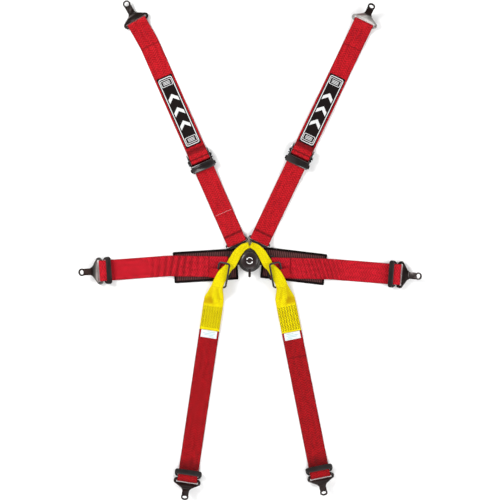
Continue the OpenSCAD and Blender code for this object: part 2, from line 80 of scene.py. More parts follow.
WEBBING, LAP_WEBBING = 50, 52    # widths

# ---- Camera, light and floor ----

FIELD = 1.25          # width of the ground that the picture shows
LENS = 240.0
SENSOR = 36.0
VIEW_X, VIEW_Y = -0.0004, -0.0008
SKY_LOW, SKY_HIGH = 0.9, 0.07      # brightness near the horizon and overhead


def studio():
    scene = bpy.context.scene
    camera = bpy.data.objects.new("camera", bpy.data.cameras.new("camera"))
    camera.data.lens = LENS
    camera.data.sensor_width = SENSOR
    camera.location = (VIEW_X, VIEW_Y, FIELD * LENS / SENSOR)
    camera.rotation_euler = (0, 0, 0)
    scene.collection.objects.link(camera)
    scene.camera = camera
    floor = bpy.data.meshes.new("floor")
    reach = 12.0
    floor.from_pydata([(-reach, -reach, 0), (reach, -reach, 0), (reach, reach, 0), (-reach, reach, 0)],
                      [], [(0, 1, 2, 3)])
    floor_object = bpy.data.objects.new("floor", floor)
    scene.collection.objects.link(floor_object)
    paint = bpy.data.materials.new("floor_paint")
    paint.use_nodes = True
    shader = paint.node_tree.nodes["Principled BSDF"]
    shader.inputs["Base Color"].default_value = (0.97, 0.97, 0.97, 1)
    shader.inputs["Roughness"].default_value = 0.9
    floor.materials.append(paint)
    for name, place, size, power in (
        ("key", (-2.0, 1.2, 1.6), 1.2, 70),
        ("fill", (2.4, -0.3, 1.9), 1.6, 44),
        ("front", (0.2, -2.4, 1.9), 1.6, 30),
    ):
        light = bpy.data.objects.new(name, bpy.data.lights.new(name, "AREA"))
        light.data.size = size
        light.data.energy = power
        light.location = place
        light.rotation_euler = Vector((-place[0], -place[1], -place[2])).to_track_quat("-Z", "Y").to_euler()
        scene.collection.objects.link(light)
    world = bpy.data.worlds.new("studio")
    world.use_nodes = True
    tree = world.node_tree
    where = tree.nodes.new("ShaderNodeTexCoord")
    split = tree.nodes.new("ShaderNodeSeparateXYZ")
    ramp = tree.nodes.new("ShaderNodeMapRange")
    tree.links.new(where.outputs["Generated"], split.inputs[0])
    tree.links.new(split.outputs["Z"], ramp.inputs[0])
    ramp.inputs[1].default_value, ramp.inputs[2].default_value = 0.35, 0.98
    ramp.inputs[3].default_value, ramp.inputs[4].default_value = SKY_LOW, SKY_HIGH
    tree.nodes["Background"].inputs["Color"].default_value = (1, 1, 1, 1)
    tree.links.new(ramp.outputs[0], tree.nodes["Background"].inputs["Strength"])
    scene.world = world
    scene.view_settings.view_transform = "Standard"


studio()

# ---- Materials ----


class Paint:
    """A material's node tree, with short calls for the nodes that the looks use."""

    def __init__(self, name, roughness=0.5, metallic=0.0):
        self.material = bpy.data.materials.new(name)
        self.material.use_nodes = True
        self.tree = self.material.node_tree
        self.shader = self.tree.nodes["Principled BSDF"]
        self.shader.inputs["Roughness"].default_value = roughness
        self.shader.inputs["Metallic"].default_value = metallic

    def node(self, kind, **settings):
        made = self.tree.nodes.new(kind)
        for key, value in settings.items():
            setattr(made, key, value)
        return made

    def feed(self, socket, value):
        if hasattr(value, "is_linked"):
            self.tree.links.new(value, socket)
        elif isinstance(value, tuple):
            opaque = len(value) == 3 and len(socket.default_value) == 4
            socket.default_value = (*value, 1) if opaque else value
        else:
            socket.default_value = value

    def math(self, operation, a, b=0.0, c=0.0):
        made = self.node("ShaderNodeMath", operation=operation)
        for socket, value in zip(made.inputs, (a, b, c)):
            self.feed(socket, value)
        return made.outputs[0]

    def mix(self, factor, a, b):
        made = self.node("ShaderNodeMix", data_type="RGBA")
        self.feed(made.inputs[0], factor)
        self.feed(made.inputs[6], a)
        self.feed(made.inputs[7], b)
        return made.outputs[2]

    def smooth(self, value, low, high):
        made = self.node("ShaderNodeMapRange", interpolation_type="SMOOTHSTEP")
        self.feed(made.inputs[0], value)
        made.inputs[1].default_value = low
        made.inputs[2].default_value = high
        return made.outputs[0]

    def wave(self, value, pitch):
        """0 to 1 and back over each pitch."""
        turn = self.math("MULTIPLY", value, 2 * math.pi / pitch)
        return self.math("MULTIPLY_ADD", self.math("SINE", turn), 0.5, 0.5)

    def noise(self, scale, detail=4.0, where=None):
        made = self.node("ShaderNodeTexNoise")
        made.inputs["Scale"].default_value = scale
        made.inputs["Detail"].default_value = detail
        if where is None:
            where = self.node("ShaderNodeTexCoord").outputs["Object"]
        self.tree.links.new(where, made.inputs["Vector"])
        return made.outputs["Fac"]

    def weave(self):
        """The place in the weave, and its parts: across, along and shade."""
        place = self.node("ShaderNodeAttribute", attribute_name="weave").outputs["Vector"]
        split = self.node("ShaderNodeSeparateXYZ")
        self.tree.links.new(place, split.inputs[0])
        return place, *split.outputs

    def colour(self, value):
        self.feed(self.shader.inputs["Base Color"], value)

    def rough(self, value):
        self.feed(self.shader.inputs["Roughness"], value)

    def bump(self, height, strength=0.5, distance=0.0003):
        made = self.node("ShaderNodeBump")
        made.inputs["Strength"].default_value = strength
        made.inputs["Distance"].default_value = distance
        self.feed(made.inputs["Height"], height)
        self.tree.links.new(made.outputs["Normal"], self.shader.inputs["Normal"])


def webbing_paint(name, light, dark, shadow, width, pitch=6.4, gloss=0.14):
    """Heavy seat belt webbing: chevron panels of ribs, warp yarns, darker heat-cut ends, and painted shade
    at the selvedges and from the strip's shade channel.
    """
    paint = Paint(name, roughness=0.66)
    place, across, along, shaded = paint.weave()
    panel = paint.math("PINGPONG", paint.math("ADD", across, width / 2), width / 6)
    slant = paint.math("MULTIPLY_ADD", panel, 0.75, along)
    broad = paint.wave(slant, pitch)
    rib = paint.wave(slant, pitch / 3)
    yarn = paint.wave(across, 1.35)
    weave = paint.math("MULTIPLY_ADD", yarn, 0.25, paint.math("MULTIPLY", rib, 0.75))
    stretched = paint.node("ShaderNodeMapping")
    paint.tree.links.new(place, stretched.inputs["Vector"])
    stretched.inputs["Scale"].default_value = (0.16, 0.05, 0.0)
    cloud = paint.noise(1.0, 3.0, stretched.outputs[0])
    fuzz = paint.noise(0.45, 3.0, place)
    tone = paint.math("MULTIPLY_ADD", weave, 0.35, 0.12)
    tone = paint.math("MULTIPLY_ADD", broad, 0.38, tone)
    tone = paint.math("ADD", tone, paint.math("MULTIPLY_ADD", cloud, 0.9, -0.45))
    tone = paint.math("ADD", tone, paint.math("MULTIPLY_ADD", fuzz, 1.1, -0.5))
    body = paint.mix(paint.smooth(tone, -0.05, 1.0), dark, light)
    # painted shade along the rounded selvedges, mixed with the shade channel, which holds the real dark cut
    # ends and painted shade
    edge = paint.smooth(paint.math("ABSOLUTE", across), width / 2 - 2.6, width / 2 - 0.2)
    shade = paint.math("MAXIMUM", paint.math("MULTIPLY", edge, 0.5), shaded)
    paint.colour(paint.mix(shade, body, shadow))
    paint.rough(paint.math("MULTIPLY_ADD", weave, -0.12, 0.72))
    paint.bump(paint.math("ADD", weave, paint.math("MULTIPLY", fuzz, 0.5)), 0.8, 0.0006)
    paint.shader.inputs["Specular IOR Level"].default_value = gloss
    paint.shader.inputs["Sheen Weight"].default_value = 0.03
    paint.shader.inputs["Sheen Roughness"].default_value = 0.3
    return paint.material


RED = webbing_paint("red_webbing", (0.62, 0.006, 0.015), (0.17, 0.0, 0.002), (0.05, 0.0, 0.001), WEBBING)
LAP_RED = webbing_paint("lap_webbing", (0.66, 0.007, 0.022), (0.20, 0.001, 0.004), (0.05, 0.0, 0.001),
                        LAP_WEBBING)
DEEP_RED = webbing_paint("crotch_webbing", (0.45, 0.002, 0.007), (0.11, 0.0, 0.001), (0.04, 0.0, 0.001),
                         WEBBING)
YELLOW = webbing_paint("yellow_webbing", (0.92, 0.82, 0.0), (0.62, 0.44, 0.0), (0.50, 0.29, 0.0),
                       WEBBING, 5.6, 0.08)


def plain_cloth(name, light, dark, pitch):
    """Fine plain weave for labels and patches."""
    paint = Paint(name, roughness=0.85)
    place, across, along, _ = paint.weave()
    weave = paint.math("MULTIPLY", paint.wave(across, pitch), paint.wave(along, pitch))
    fuzz = paint.noise(0.7, 3.0, place)
    tone = paint.math("MULTIPLY_ADD", fuzz, 0.6, paint.math("MULTIPLY", weave, 0.4))
    paint.colour(paint.mix(tone, dark, light))
    paint.bump(weave, 0.4, 0.0002)
    paint.shader.inputs["Specular IOR Level"].default_value = 0.1
    return paint.material


LABEL = plain_cloth("label_cloth", (0.016, 0.009, 0.009), (0.003, 0.002, 0.002), 0.9)
PRINT = plain_cloth("label_print", (0.85, 0.85, 0.85), (0.6, 0.6, 0.6), 0.9)
PATCH = plain_cloth("white_patch", (0.9, 0.92, 0.93), (0.62, 0.66, 0.7), 1.1)
PATCH_INK = plain_cloth("patch_ink", (0.42, 0.62, 0.60), (0.3, 0.5, 0.5), 1.1)


def pad_cloth():
    """Ribbed black cover: dark ribs with painted highlights on their crests."""
    paint = Paint("pad_cloth", roughness=0.78)
    place, across, along, crest_highlight = paint.weave()
    fuzz = paint.noise(0.8, 3.0, place)
    tone = paint.math("MULTIPLY", crest_highlight, paint.math("MULTIPLY_ADD", fuzz, 1.2, 0.1))
    paint.colour(paint.mix(tone, (0.004, 0.001, 0.001), (0.19, 0.07, 0.07)))
    yarn = paint.math("MULTIPLY", paint.wave(across, 1.1), paint.wave(along, 1.1))
    paint.bump(paint.math("ADD", yarn, fuzz), 0.4, 0.0003)
    paint.shader.inputs["Specular IOR Level"].default_value = 0.1
    return paint.material


def metal(name, colour, roughness, metallic=1.0, coat=0.0, grain=60.0, wear=0.08):
    """Plated or painted metal with soft smudges, fine grain and slightly varied gloss."""
    paint = Paint(name, roughness, metallic)
    smudge = paint.noise(grain, 5.0)
    fine = paint.noise(grain * 30, 2.0)
    pale = tuple(min(1.0, c * 1.5 + wear * 0.2) for c in colour)
    paint.colour(paint.mix(paint.smooth(smudge, 0.35, 0.75), colour, pale))
    paint.rough(paint.math("MULTIPLY_ADD", smudge, 0.16, roughness - 0.06))
    paint.bump(fine, 0.12, 0.0001)
    paint.shader.inputs["Specular IOR Level"].default_value = 0.4
    paint.shader.inputs["Coat Weight"].default_value = coat
    paint.shader.inputs["Coat Roughness"].default_value = 0.12
    return paint.material


PAD = pad_cloth()
GUNMETAL = metal("gunmetal", (0.014, 0.008, 0.007), 0.3, 0.5, 0.15, wear=0.03)
STEEL = metal("steel", (0.6, 0.61, 0.63), 0.28, 1.0)
BLACK_STEEL = metal("black_steel", (0.006, 0.003, 0.003), 0.42, 0.0, 0.12, wear=0.02)
TONGUE_BLACK = metal("tongue_black", (0.008, 0.005, 0.005), 0.4, 0.0, 0.15, wear=0.02)
GLOSS_BLACK = metal("gloss_black", (0.006, 0.003, 0.003), 0.16, 0.0, 0.8, wear=0.02)
CASE_BLACK = metal("case_black", (0.007, 0.005, 0.005), 0.35, 0.0, 0.25, wear=0.02)
DIAL_BLACK = metal("dial_black", (0.014, 0.007, 0.007), 0.33, 0.0, 0.25, wear=0.02)
MARK_WHITE = metal("mark_white", (0.72, 0.74, 0.72), 0.45, 0.0, 0.0)


def thread_paint(name, colour):
    paint = Paint(name, roughness=0.55)
    fuzz = paint.noise(2500.0, 2.0)
    paint.colour(paint.mix(fuzz, tuple(c * 0.7 for c in colour), colour))
    paint.bump(fuzz, 0.3, 0.0001)
    paint.shader.inputs["Specular IOR Level"].default_value = 0.15
    return paint.material


RED_THREAD = thread_paint("red_thread", (0.40, 0.006, 0.02))
WHITE_THREAD = thread_paint("white_thread", (0.85, 0.8, 0.8))
GOLD_THREAD = thread_paint("gold_thread", (0.26, 0.17, 0.0))

# ---- Mesh helpers ----


def piece(name, points, faces, material, weave, smooth=True, weld=0.0):
    """A mesh object from points in metres, with faces turned outward and close points joined."""
    mesh = bpy.data.meshes.new(name)
    mesh.from_pydata([tuple(p) for p in points], [], faces)
    attribute = mesh.attributes.new("weave", "FLOAT_VECTOR", "POINT")
    attribute.data.foreach_set("vector", np.asarray(weave, np.float32).ravel())
    mesh.materials.append(material)
    work = bmesh.new()
    work.from_mesh(mesh)
    if weld:
        bmesh.ops.remove_doubles(work, verts=work.verts, dist=weld)
    bmesh.ops.recalc_face_normals(work, faces=work.faces)
    work.to_mesh(mesh)
    work.free()
    made = bpy.data.objects.new(name, mesh)
    bpy.context.scene.collection.objects.link(made)
    if smooth:
        mesh.shade_smooth()
    return made


class Build:
    """Points, faces and weave places of several shells that make one piece."""

    def __init__(self):
        self.points, self.faces, self.weave = [], [], []
        self.length = self.width = self.area = 0.0

    def add(self, points, faces, weave=None):
        first = len(self.points)
        self.points.extend(map(tuple, points))
        self.faces.extend([tuple(first + i for i in f) for f in faces])
        self.weave.extend(map(tuple, weave if weave is not None else np.zeros((len(points), 3))))

    def finish(self, name, material, slot, body=None, stands_for=(), smooth=True):
        """Makes the piece, on its body, and hides the CAD nodes that it stands for. Its slot argument is not
        used.
        """
        made = piece(name, self.points, self.faces, material, self.weave, smooth)
        if body:
            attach(made, body)
        if stands_for:
            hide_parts(*stands_for)
        return made


def grid_faces(rows, columns, closed):
    """Quads between rows of points; closed joins each row's last point to its first."""
    spans = columns if closed else columns - 1
    return [
        (r * columns + c, r * columns + (c + 1) % columns,
         (r + 1) * columns + (c + 1) % columns, (r + 1) * columns + c)
        for r in range(rows - 1) for c in range(spans)
    ]


def tube_faces(rows, columns):
    """Faces of a webbing strip: its closed rows joined up, and both of its ends shut."""
    faces = grid_faces(rows, columns, True)
    for first in (0, (rows - 1) * columns):
        for c in range((columns + 2) // 2 - 1):
            quad = [first + i for i in (c, c + 1, columns - c - 1, (columns - c) % columns)]
            faces.append(tuple(dict.fromkeys(quad)))
    return faces


def smoothstep(x):
    x = np.clip(x, 0, 1)
    return x * x * (3 - 2 * x)


def bell(x, width):
    return np.exp(-(x / width) ** 2)


def arc(cx, cy, r, a0, a1, n=14):
    angles = np.radians(np.linspace(a0, a1, n + 1))
    return [(cx + r * math.cos(a), cy + r * math.sin(a)) for a in angles]


def distances(line):
    """How far along a line each of its points is."""
    return np.concatenate([[0], np.cumsum(np.linalg.norm(np.diff(line, axis=0), axis=1))])


def resampled(line, step, fewest):
    far = distances(line)
    ticks = np.linspace(0, far[-1], max(int(far[-1] / step), fewest))
    return np.stack([np.interp(ticks, far, line[:, k]) for k in range(line.shape[1])], 1)


def even(path, step=2.0, soften=1.2):
    """A path resampled to an even step, with its corners eased over about the softening length."""
    fine = 0.4
    line = resampled(np.asarray(path, float), fine, 4)
    reach = int(3 * soften / fine)
    if reach > 0:
        weights = np.exp(-0.5 * (np.arange(-reach, reach + 1) * fine / soften) ** 2)
        weights /= weights.sum()
        before = 2 * line[0] - line[reach:0:-1]
        after = 2 * line[-1] - line[-2:-reach - 2:-1]
        padded = np.concatenate([before, line, after])
        line = np.stack([np.convolve(column, weights, "valid") for column in padded.T], 1)
    return resampled(line, step, 3)


def cloth(build):
    """Works out whether a cloth piece's area falls short of its width times length; nothing is declared or
    kept.
    """
    tapered = build.area < 0.99 * build.width * build.length
    build.area if tapered else None


# ---- Strap runs ----


class Run:
    """A strap's line in plan. A bend is (s, degrees toward +y, length that it is spread over)."""

    def __init__(self, start, heading, hand, length, bends=()):
        self.hand = hand
        self.s = np.arange(-30.0, length + 31.0, 1.0)
        turn = np.full(len(self.s), float(heading))
        for at, degrees, ease in bends:
            turn += hand * math.radians(degrees) * smoothstep((self.s - at + ease / 2) / ease)
        steps = np.stack([np.cos(turn), np.sin(turn)], 1)
        line = np.concatenate([[[0, 0]], np.cumsum((steps[1:] + steps[:-1]) / 2, axis=0)])
        zero = np.array([np.interp(0, self.s, line[:, k]) for k in (0, 1)])
        self.line = line - zero + np.array(start[:2])
        self.turn = turn

    def place(self, s, y, z):
        """Points in metres for arrays of strap places in millimetres."""
        s, y, z = np.broadcast_arrays(np.asarray(s, float), y, z)
        px = np.interp(s, self.s, self.line[:, 0])
        py = np.interp(s, self.s, self.line[:, 1])
        a = np.interp(s, self.s, self.turn)
        points = np.stack([px - self.hand * y * np.sin(a), py + self.hand * y * np.cos(a), z], -1)
        return points * MM

    def way(self, s):
        a = float(np.interp(s, self.s, self.turn))
        return (math.cos(a), math.sin(a), 0.0)

    def point(self, s, y=0.0, z=0.0):
        return tuple(float(c) for c in self.place([s], [y], [z])[0])


def joint_place(name):
    return np.array(JOINTS[name]["pos_m"]) / MM


def heading_of(a, b):
    return math.atan2(b[1] - a[1], b[0] - a[0])


BUCKLE = joint_place("dial_turn")
FLEX_S = 80.0
LAP_DROP = 16.6
LAP_FOLD_S = 200.0
BEND_BACK = 62.0
ADJUSTER_S, SHOULDER_S, SHOULDER, LAP, CROTCH = {}, {}, {}, {}, {}
LAP_S, CROTCH_S = {}, {}
for side, hand in HAND.items():
    fold = joint_place(f"shoulder_{side}_fold")
    out = np.array(JOINTS[f"shoulder_{side}_release"]["axis"])
    start = fold - FLEX_S * out
    ADJUSTER_S[side] = float((joint_place(f"adjuster_{side}_tip") - start)[:2] @ out[:2])
    bar = (joint_place(f"shoulder_{side}_anchor_turn") - start)[:2]
    aside = float(out[0] * bar[1] - out[1] * bar[0])
    bend = math.degrees(math.asin(aside / BEND_BACK)) * hand
    straight = float(bar @ out[:2]) - BEND_BACK * math.cos(math.radians(bend))
    SHOULDER_S[side] = straight + BEND_BACK
    SHOULDER[side] = Run(start, math.atan2(out[1], out[0]), hand, SHOULDER_S[side],
                         [(straight, bend, 24.0)])
    lap_start = BUCKLE - np.array([0, LAP_DROP, 0])
    lap_fold = joint_place(f"lap_{side}_fold")
    lap_bar = joint_place(f"lap_{side}_anchor_turn")
    inner = heading_of(lap_start, lap_fold)
    turn = heading_of(lap_fold, lap_bar) - inner
    turn = (turn + math.pi) % (2 * math.pi) - math.pi
    LAP_S[side] = LAP_FOLD_S + float(np.linalg.norm((lap_bar - lap_fold)[:2]))
    LAP[side] = Run(lap_start, inner, hand, LAP_S[side], [(LAP_FOLD_S, math.degrees(turn) * hand, 30.0)])
    crotch_start = joint_place(f"crotch_{side}_fold")
    crotch_bar = joint_place(f"crotch_{side}_anchor_turn")
    CROTCH_S[side] = float(np.linalg.norm((crotch_bar - crotch_start)[:2]))
    CROTCH[side] = Run(crotch_start, heading_of(crotch_start, crotch_bar), hand, CROTCH_S[side])

# ---- Webbing ----

PLY = 1.45                       # thickness of one ply
HALF_PLY = 0.78                  # a strap's middle to its upper face
GROUND = 0.03                    # nothing soft goes lower
FLOOR_Z = 0.8                    # middle of a ply that lies on the floor
ANCHOR_BAR_Z, ANCHOR_LOOP_R = 6.0, 4.85
TONGUE_BAR_Z, TONGUE_LOOP_R = 9.5, 4.55


def section(width, thick, columns=13):
    """Closed cross-section of webbing: (y, lift) with rounded, slightly fuller selvedges."""
    half = width / 2
    inner = np.linspace(-(half - 2.6), half - 2.6, columns)
    ys = np.concatenate([[-half, -half + 0.2, -half + 0.7, -half + 1.5], inner,
                         [half - 1.5, half - 0.7, half - 0.2, half]])
    near = half - np.abs(ys)
    lift = thick / 2 * np.sqrt(np.clip(1 - (1 - np.clip(near / 0.75, 0, 1)) ** 2, 0, 1))
    lift = lift * (1 + 0.10 * bell(near - 1.4, 0.9))
    top = list(zip(ys, lift))
    bottom = [(y, -h) for y, h in reversed(top[1:-1])]
    return np.array(top + bottom)


def ribbon(build, run, path, width, thick=PLY, step=2.0, soften=0.7, lift=None, sealed=(1, 1), shade=None,
           seam=2.0):
    """Adds a strip of webbing along (s, z) points. lift(s, y) raises every ply there alike; shade(s, y)
    gives painted shade in hollows and cast shadows; seam is the length of the dark, heat-cut ends, and
    sealed says which ends have one."""
    line = even(path, step, soften)
    along = distances(line)
    direction = np.gradient(line, axis=0)
    direction /= np.linalg.norm(direction, axis=1)[:, None]
    normal = np.stack([-direction[:, 1], direction[:, 0]], 1)
    profile = section(width, thick)
    y = np.tile(profile[:, 0], (len(line), 1))
    s = line[:, :1] + normal[:, :1] * profile[None, :, 1]
    z = line[:, 1:] + normal[:, 1:] * profile[None, :, 1]
    if lift is not None:
        z = z + lift(s, y)
    z = np.maximum(z, GROUND)
    rows, columns = y.shape
    points = run.place(s, y, z)
    length = float(np.linalg.norm(np.diff(points[:, columns // 4], axis=0), axis=1).sum())
    build.length += length
    build.width = max(build.width, width * MM)
    build.area += length * width * MM
    to_end = np.minimum(along + (0 if sealed[0] else 99), along[-1] - along + (0 if sealed[1] else 99))
    # real dark heat-cut ends, with the painted shade from shade(s, y) laid over them
    cut_end_and_shade = np.tile(smoothstep(1.4 * (1 - to_end / seam))[:, None] * 0.9, (1, columns))
    if shade is not None:
        cut_end_and_shade = np.maximum(cut_end_and_shade, shade(s, y))
    weave = np.stack([y, np.tile(along[:, None], (1, columns)), cut_end_and_shade], -1)
    build.add(points.reshape(-1, 3), tube_faces(rows, columns), weave.reshape(-1, 3))


def tongue_loop(bar_s, a0=270, a1=90):
    return arc(bar_s, TONGUE_BAR_Z, TONGUE_LOOP_R, a0, a1)


def anchor_loop(bar_s):
    return arc(bar_s, ANCHOR_BAR_Z, ANCHOR_LOOP_R, 90, -90)


def slide_end(s, tail=55.0):
    """Under, over and back through a three-bar slide, round the anchor's bar at s."""
    return ([(s - tail - 12, FLOOR_Z), (s - tail - 2, 2.5), (s - 20.9, 2.5), (s - 19, 10.1), (s - 12, 10.1)]
            + anchor_loop(s)
            + [(s - 7.6, 1.0), (s - 9.4, 1.2), (s - 11.6, 8.35), (s - 17.2, 8.35), (s - 19, 0.95),
               (s - 27, 0.85), (s - tail, 0.85)])


def gentle(seed, height=0.9, length=90.0, tilt=0.4):
    """Soft unevenness of a strap that lies loose: always lifted, never below the ground."""
    rng = random.Random(seed)
    waves = [(rng.uniform(0.6, 1.4) * length, rng.uniform(0, 6.28), rng.uniform(-1, 1)) for _ in range(4)]

    def lift(s, y):
        total = 0
        for pitch, start, lean in waves:
            total = total + np.sin(2 * math.pi * (s + lean * y * 0.5) / pitch + start)
        edge = np.sin(2 * math.pi * s / (length * 1.7) + seed) * y / 25 * tilt
        return height * (0.5 + total / 8) + np.abs(edge)

    return lift


def window(s, low, high, ease):
    return smoothstep((s - low) / ease) * (1 - smoothstep((s - high + ease) / ease))


def shoulder_straps(side):
    run, f, end = SHOULDER[side], ADJUSTER_S[side], SHOULDER_S[side]
    seed = SIDES.index(side) + 3
    loose = gentle(seed, 0.7, 70)

    def lower_lift(s, y):
        return loose(s, y) * window(s, 84, f - 26, 14)

    # painted shadow that the folded-back ply's cut end casts on the ply beneath it
    def ply_end_shadow(s, y):
        return 0.75 * bell(s - 78.2, 1.3)

    lower = Build()
    ribbon(lower, run,
           [(130, 2.42), (120, FLOOR_Z), (105, FLOOR_Z), (82, 2.75), (79, 2.95), (66, 4.3)]
           + tongue_loop(56.0) + [(66, 7.6), (72, 5.6), (76.5, 4.95)],
           WEBBING, sealed=(0, 1), lift=lower_lift, shade=ply_end_shadow, seam=3.4)
    ribbon(lower, run,
           [(130, 2.42), (137, 2.45), (f - 60, 2.45), (f - 20, 5.85), (f - 8, 7.9)]
           + arc(f, 7.6, 3.65, 90, -90) + [(f - 20, 4.2), (f - 60, FLOOR_Z), (137, FLOOR_Z)],
           WEBBING, sealed=(0, 1), lift=lower_lift)
    made = lower.finish(f"lower_strap_{side}", RED, "red_webbing",
                        stands_for=(f"shoulder_strap_end_{side}", f"lower_shoulder_strap_{side}"))
    run.point(77.0)
    run.point(96.0)
    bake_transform(made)
    cloth(lower)

    # painted shade in the dips of the bight, between its ridges over the bar and the roller
    def roll_shade(s, y):
        x = s - f
        return 0.8 * np.maximum(bell(x - 21.8, 1.7),
                                np.maximum(smoothstep((14.5 - x) / 3.5), 0.75 * smoothstep((x - 31) / 8)))

    bight = Build()
    ribbon(bight, run,
           [(f + x, z) for x, z in
            [(46, 4.6), (41, 4.75), (31, 12.3), (28, 12.85), (25, 12.5), (21.5, 11.75), (18, 12.9)]
            + arc(15, 9.2, 3.85, 90, 270) + [(20, 4.9), (27, 4.55), (36, 4.55)]],
           WEBBING, step=1.0, soften=0.8, sealed=(1, 1), shade=roll_shade)
    made = bight.finish(f"adjuster_bight_{side}", RED,
                        "red_webbing", f"adjuster_{side}", (f"adjuster_webbing_{side}",))
    cloth(bight)

    upper_loose = gentle(seed + 10, 0.6, 85)

    def upper_lift(s, y):
        return upper_loose(s, y) * window(s, f + 60, end - 14, 30)

    def upper_shade(s, y):
        # painted shade where the strap climbs to the adjuster, and a narrow dark line across the strap at
        # end - 66
        near_adjuster = 0.6 * (1 - smoothstep((s - f - 40) / 16))
        seam = 0.7 * bell(s - end + 66, 1.2)
        return np.maximum(near_adjuster, seam)

    upper = Build()
    ribbon(upper, run,
           [(f + 8, 2.75), (f + 150, 2.75), (f + 175, FLOOR_Z), (end - 62, FLOOR_Z), (end - 50, 2.5),
            (end - 18, 3.4), (end - 9, 7.6)]
           + anchor_loop(end) + [(end - 14, 0.9), (end - 49, 0.85)],
           WEBBING, soften=0.3, lift=upper_lift, shade=upper_shade)
    made = upper.finish(f"upper_strap_{side}", RED,
                        "red_webbing", f"shoulder_{side}_upper", (f"upper_shoulder_strap_{side}",))
    cloth(upper)

    tail = Build()
    ribbon(tail, run, [(f + 12, 0.95), (f + 120, 0.95)], WEBBING, step=6.0)
    made = tail.finish(f"strap_tail_{side}", RED,
                       "red_webbing", f"tail_{side}", (f"shoulder_strap_tail_{side}",))
    cloth(tail)
    return lower_lift, upper_lift


PUCKER = {"left": (16.5, 2.8, 0.08, 1.0), "right": (10.8, 2.1, 0.3, 0.5)}


def lap_strap(side):
    """The lap strap is drawn up over its pad, so it lies in soft cross waves there, with painted shade in
    their valleys.
    """
    run, end = LAP[side], LAP_S[side]
    pitch, height, slant, broad = PUCKER[side]
    loose = gentle(SIDES.index(side) + 21, 0.6, 60)

    def wave(s, y):
        phase = 2 * math.pi * (s + slant * y) / pitch + 0.8 * np.sin(y / 17.0 + s / 31.0)
        return 0.5 + 0.5 * np.sin(phase)

    def strength(s, y):
        return window(s, 84, 268 if side == "left" else 250, 30) * (0.7 + 0.3 * np.sin(s / 23.0 + y / 40.0))

    def lift(s, y):
        far = loose(s, y) * window(s, 215, end - 55, 20)
        swell = broad * 0.5 * (1 + np.sin(s / 13.0)) * window(s, 84, 240, 26)
        return height * strength(s, y) * wave(s, y) ** 1.3 + swell + far

    # painted shade in the valleys of the cross waves
    def painted_hollow_shade(s, y):
        return 0.55 * strength(s, y) * (1 - wave(s, y - 2.0)) ** 2

    build = Build()
    ribbon(build, run,
           [(102, 6.05), (82, 6.05), (74, 7.2)] + tongue_loop(58, 90, 270)
           + [(75, 4.45), (194, 4.45), (200, 4.2), (228, FLOOR_Z)] + slide_end(end),
           LAP_WEBBING, step=1.6, lift=lift, shade=painted_hollow_shade)
    made = build.finish(f"lap_strap_{side}", LAP_RED, "red_webbing",
                        stands_for=(f"lap_strap_inner_{side}", f"lap_strap_outer_{side}"))
    run.point(193.0)
    run.point(208.0)
    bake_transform(made)
    cloth(build)
    return lift


def crotch_strap(side):
    run, end = CROTCH[side], CROTCH_S[side]
    loose = gentle(SIDES.index(side) + 31, 1.0, 110, 0.7)

    def lift(s, y):
        return loose(s, y) * window(s, 96, end - 60, 40)

    def shade(s, y):
        # painted shade on the strap near its slide, and on the right strap a narrow dark line across it at s
        # = 140
        near_slide = 0.5 * smoothstep((s - end + 60) / 26) * (s < end - 14)
        seam = 0.75 * bell(s - 140, 1.2) * (side == "right")
        return np.maximum(near_slide, seam)

    build = Build()
    ribbon(build, run, [(12, 2.4), (92, 2.4), (120, FLOOR_Z)] + slide_end(end), WEBBING,
           lift=lift, shade=shade)
    made = build.finish(f"crotch_webbing_{side}", DEEP_RED,
                        "red_webbing", f"crotch_{side}", (f"crotch_strap_{side}",))
    cloth(build)
    return lift


LIFTS = {}
for side in SIDES:
    LIFTS["lower", side], LIFTS["upper", side] = shoulder_straps(side)
    LIFTS["lap", side] = lap_strap(side)
    LIFTS["crotch", side] = crotch_strap(side)

# ---- Yellow leg loops ----

RING_PLACE = {side: joint_place(f"ring_{side}_swing") for side in SIDES}
LOOP_S = 36.7
SEWN_LEN = {"left": 71.0, "right": 76.0}
UPPER_PLY_Z = 4.02    # middle of the yellow webbing's top ply where it is sewn


def catmull(points, n=8):
    """Smooth line through points, with n steps between each pair."""
    p = np.asarray(points, float)
    p = np.concatenate([[2 * p[0] - p[1]], p, [2 * p[-1] - p[-2]]])
    t = (np.arange(n) / n)[:, None]
    parts = []
    for k in range(1, len(p) - 2):
        a, b, c, d = p[k - 1], p[k], p[k + 1], p[k + 2]
        parts.append(0.5 * (2 * b + (c - a) * t + (2 * a - 5 * b + 4 * c - d) * t ** 2
                            + (3 * b - a - 3 * c + d) * t ** 3))
    return np.concatenate(parts + [p[-2:-1]])


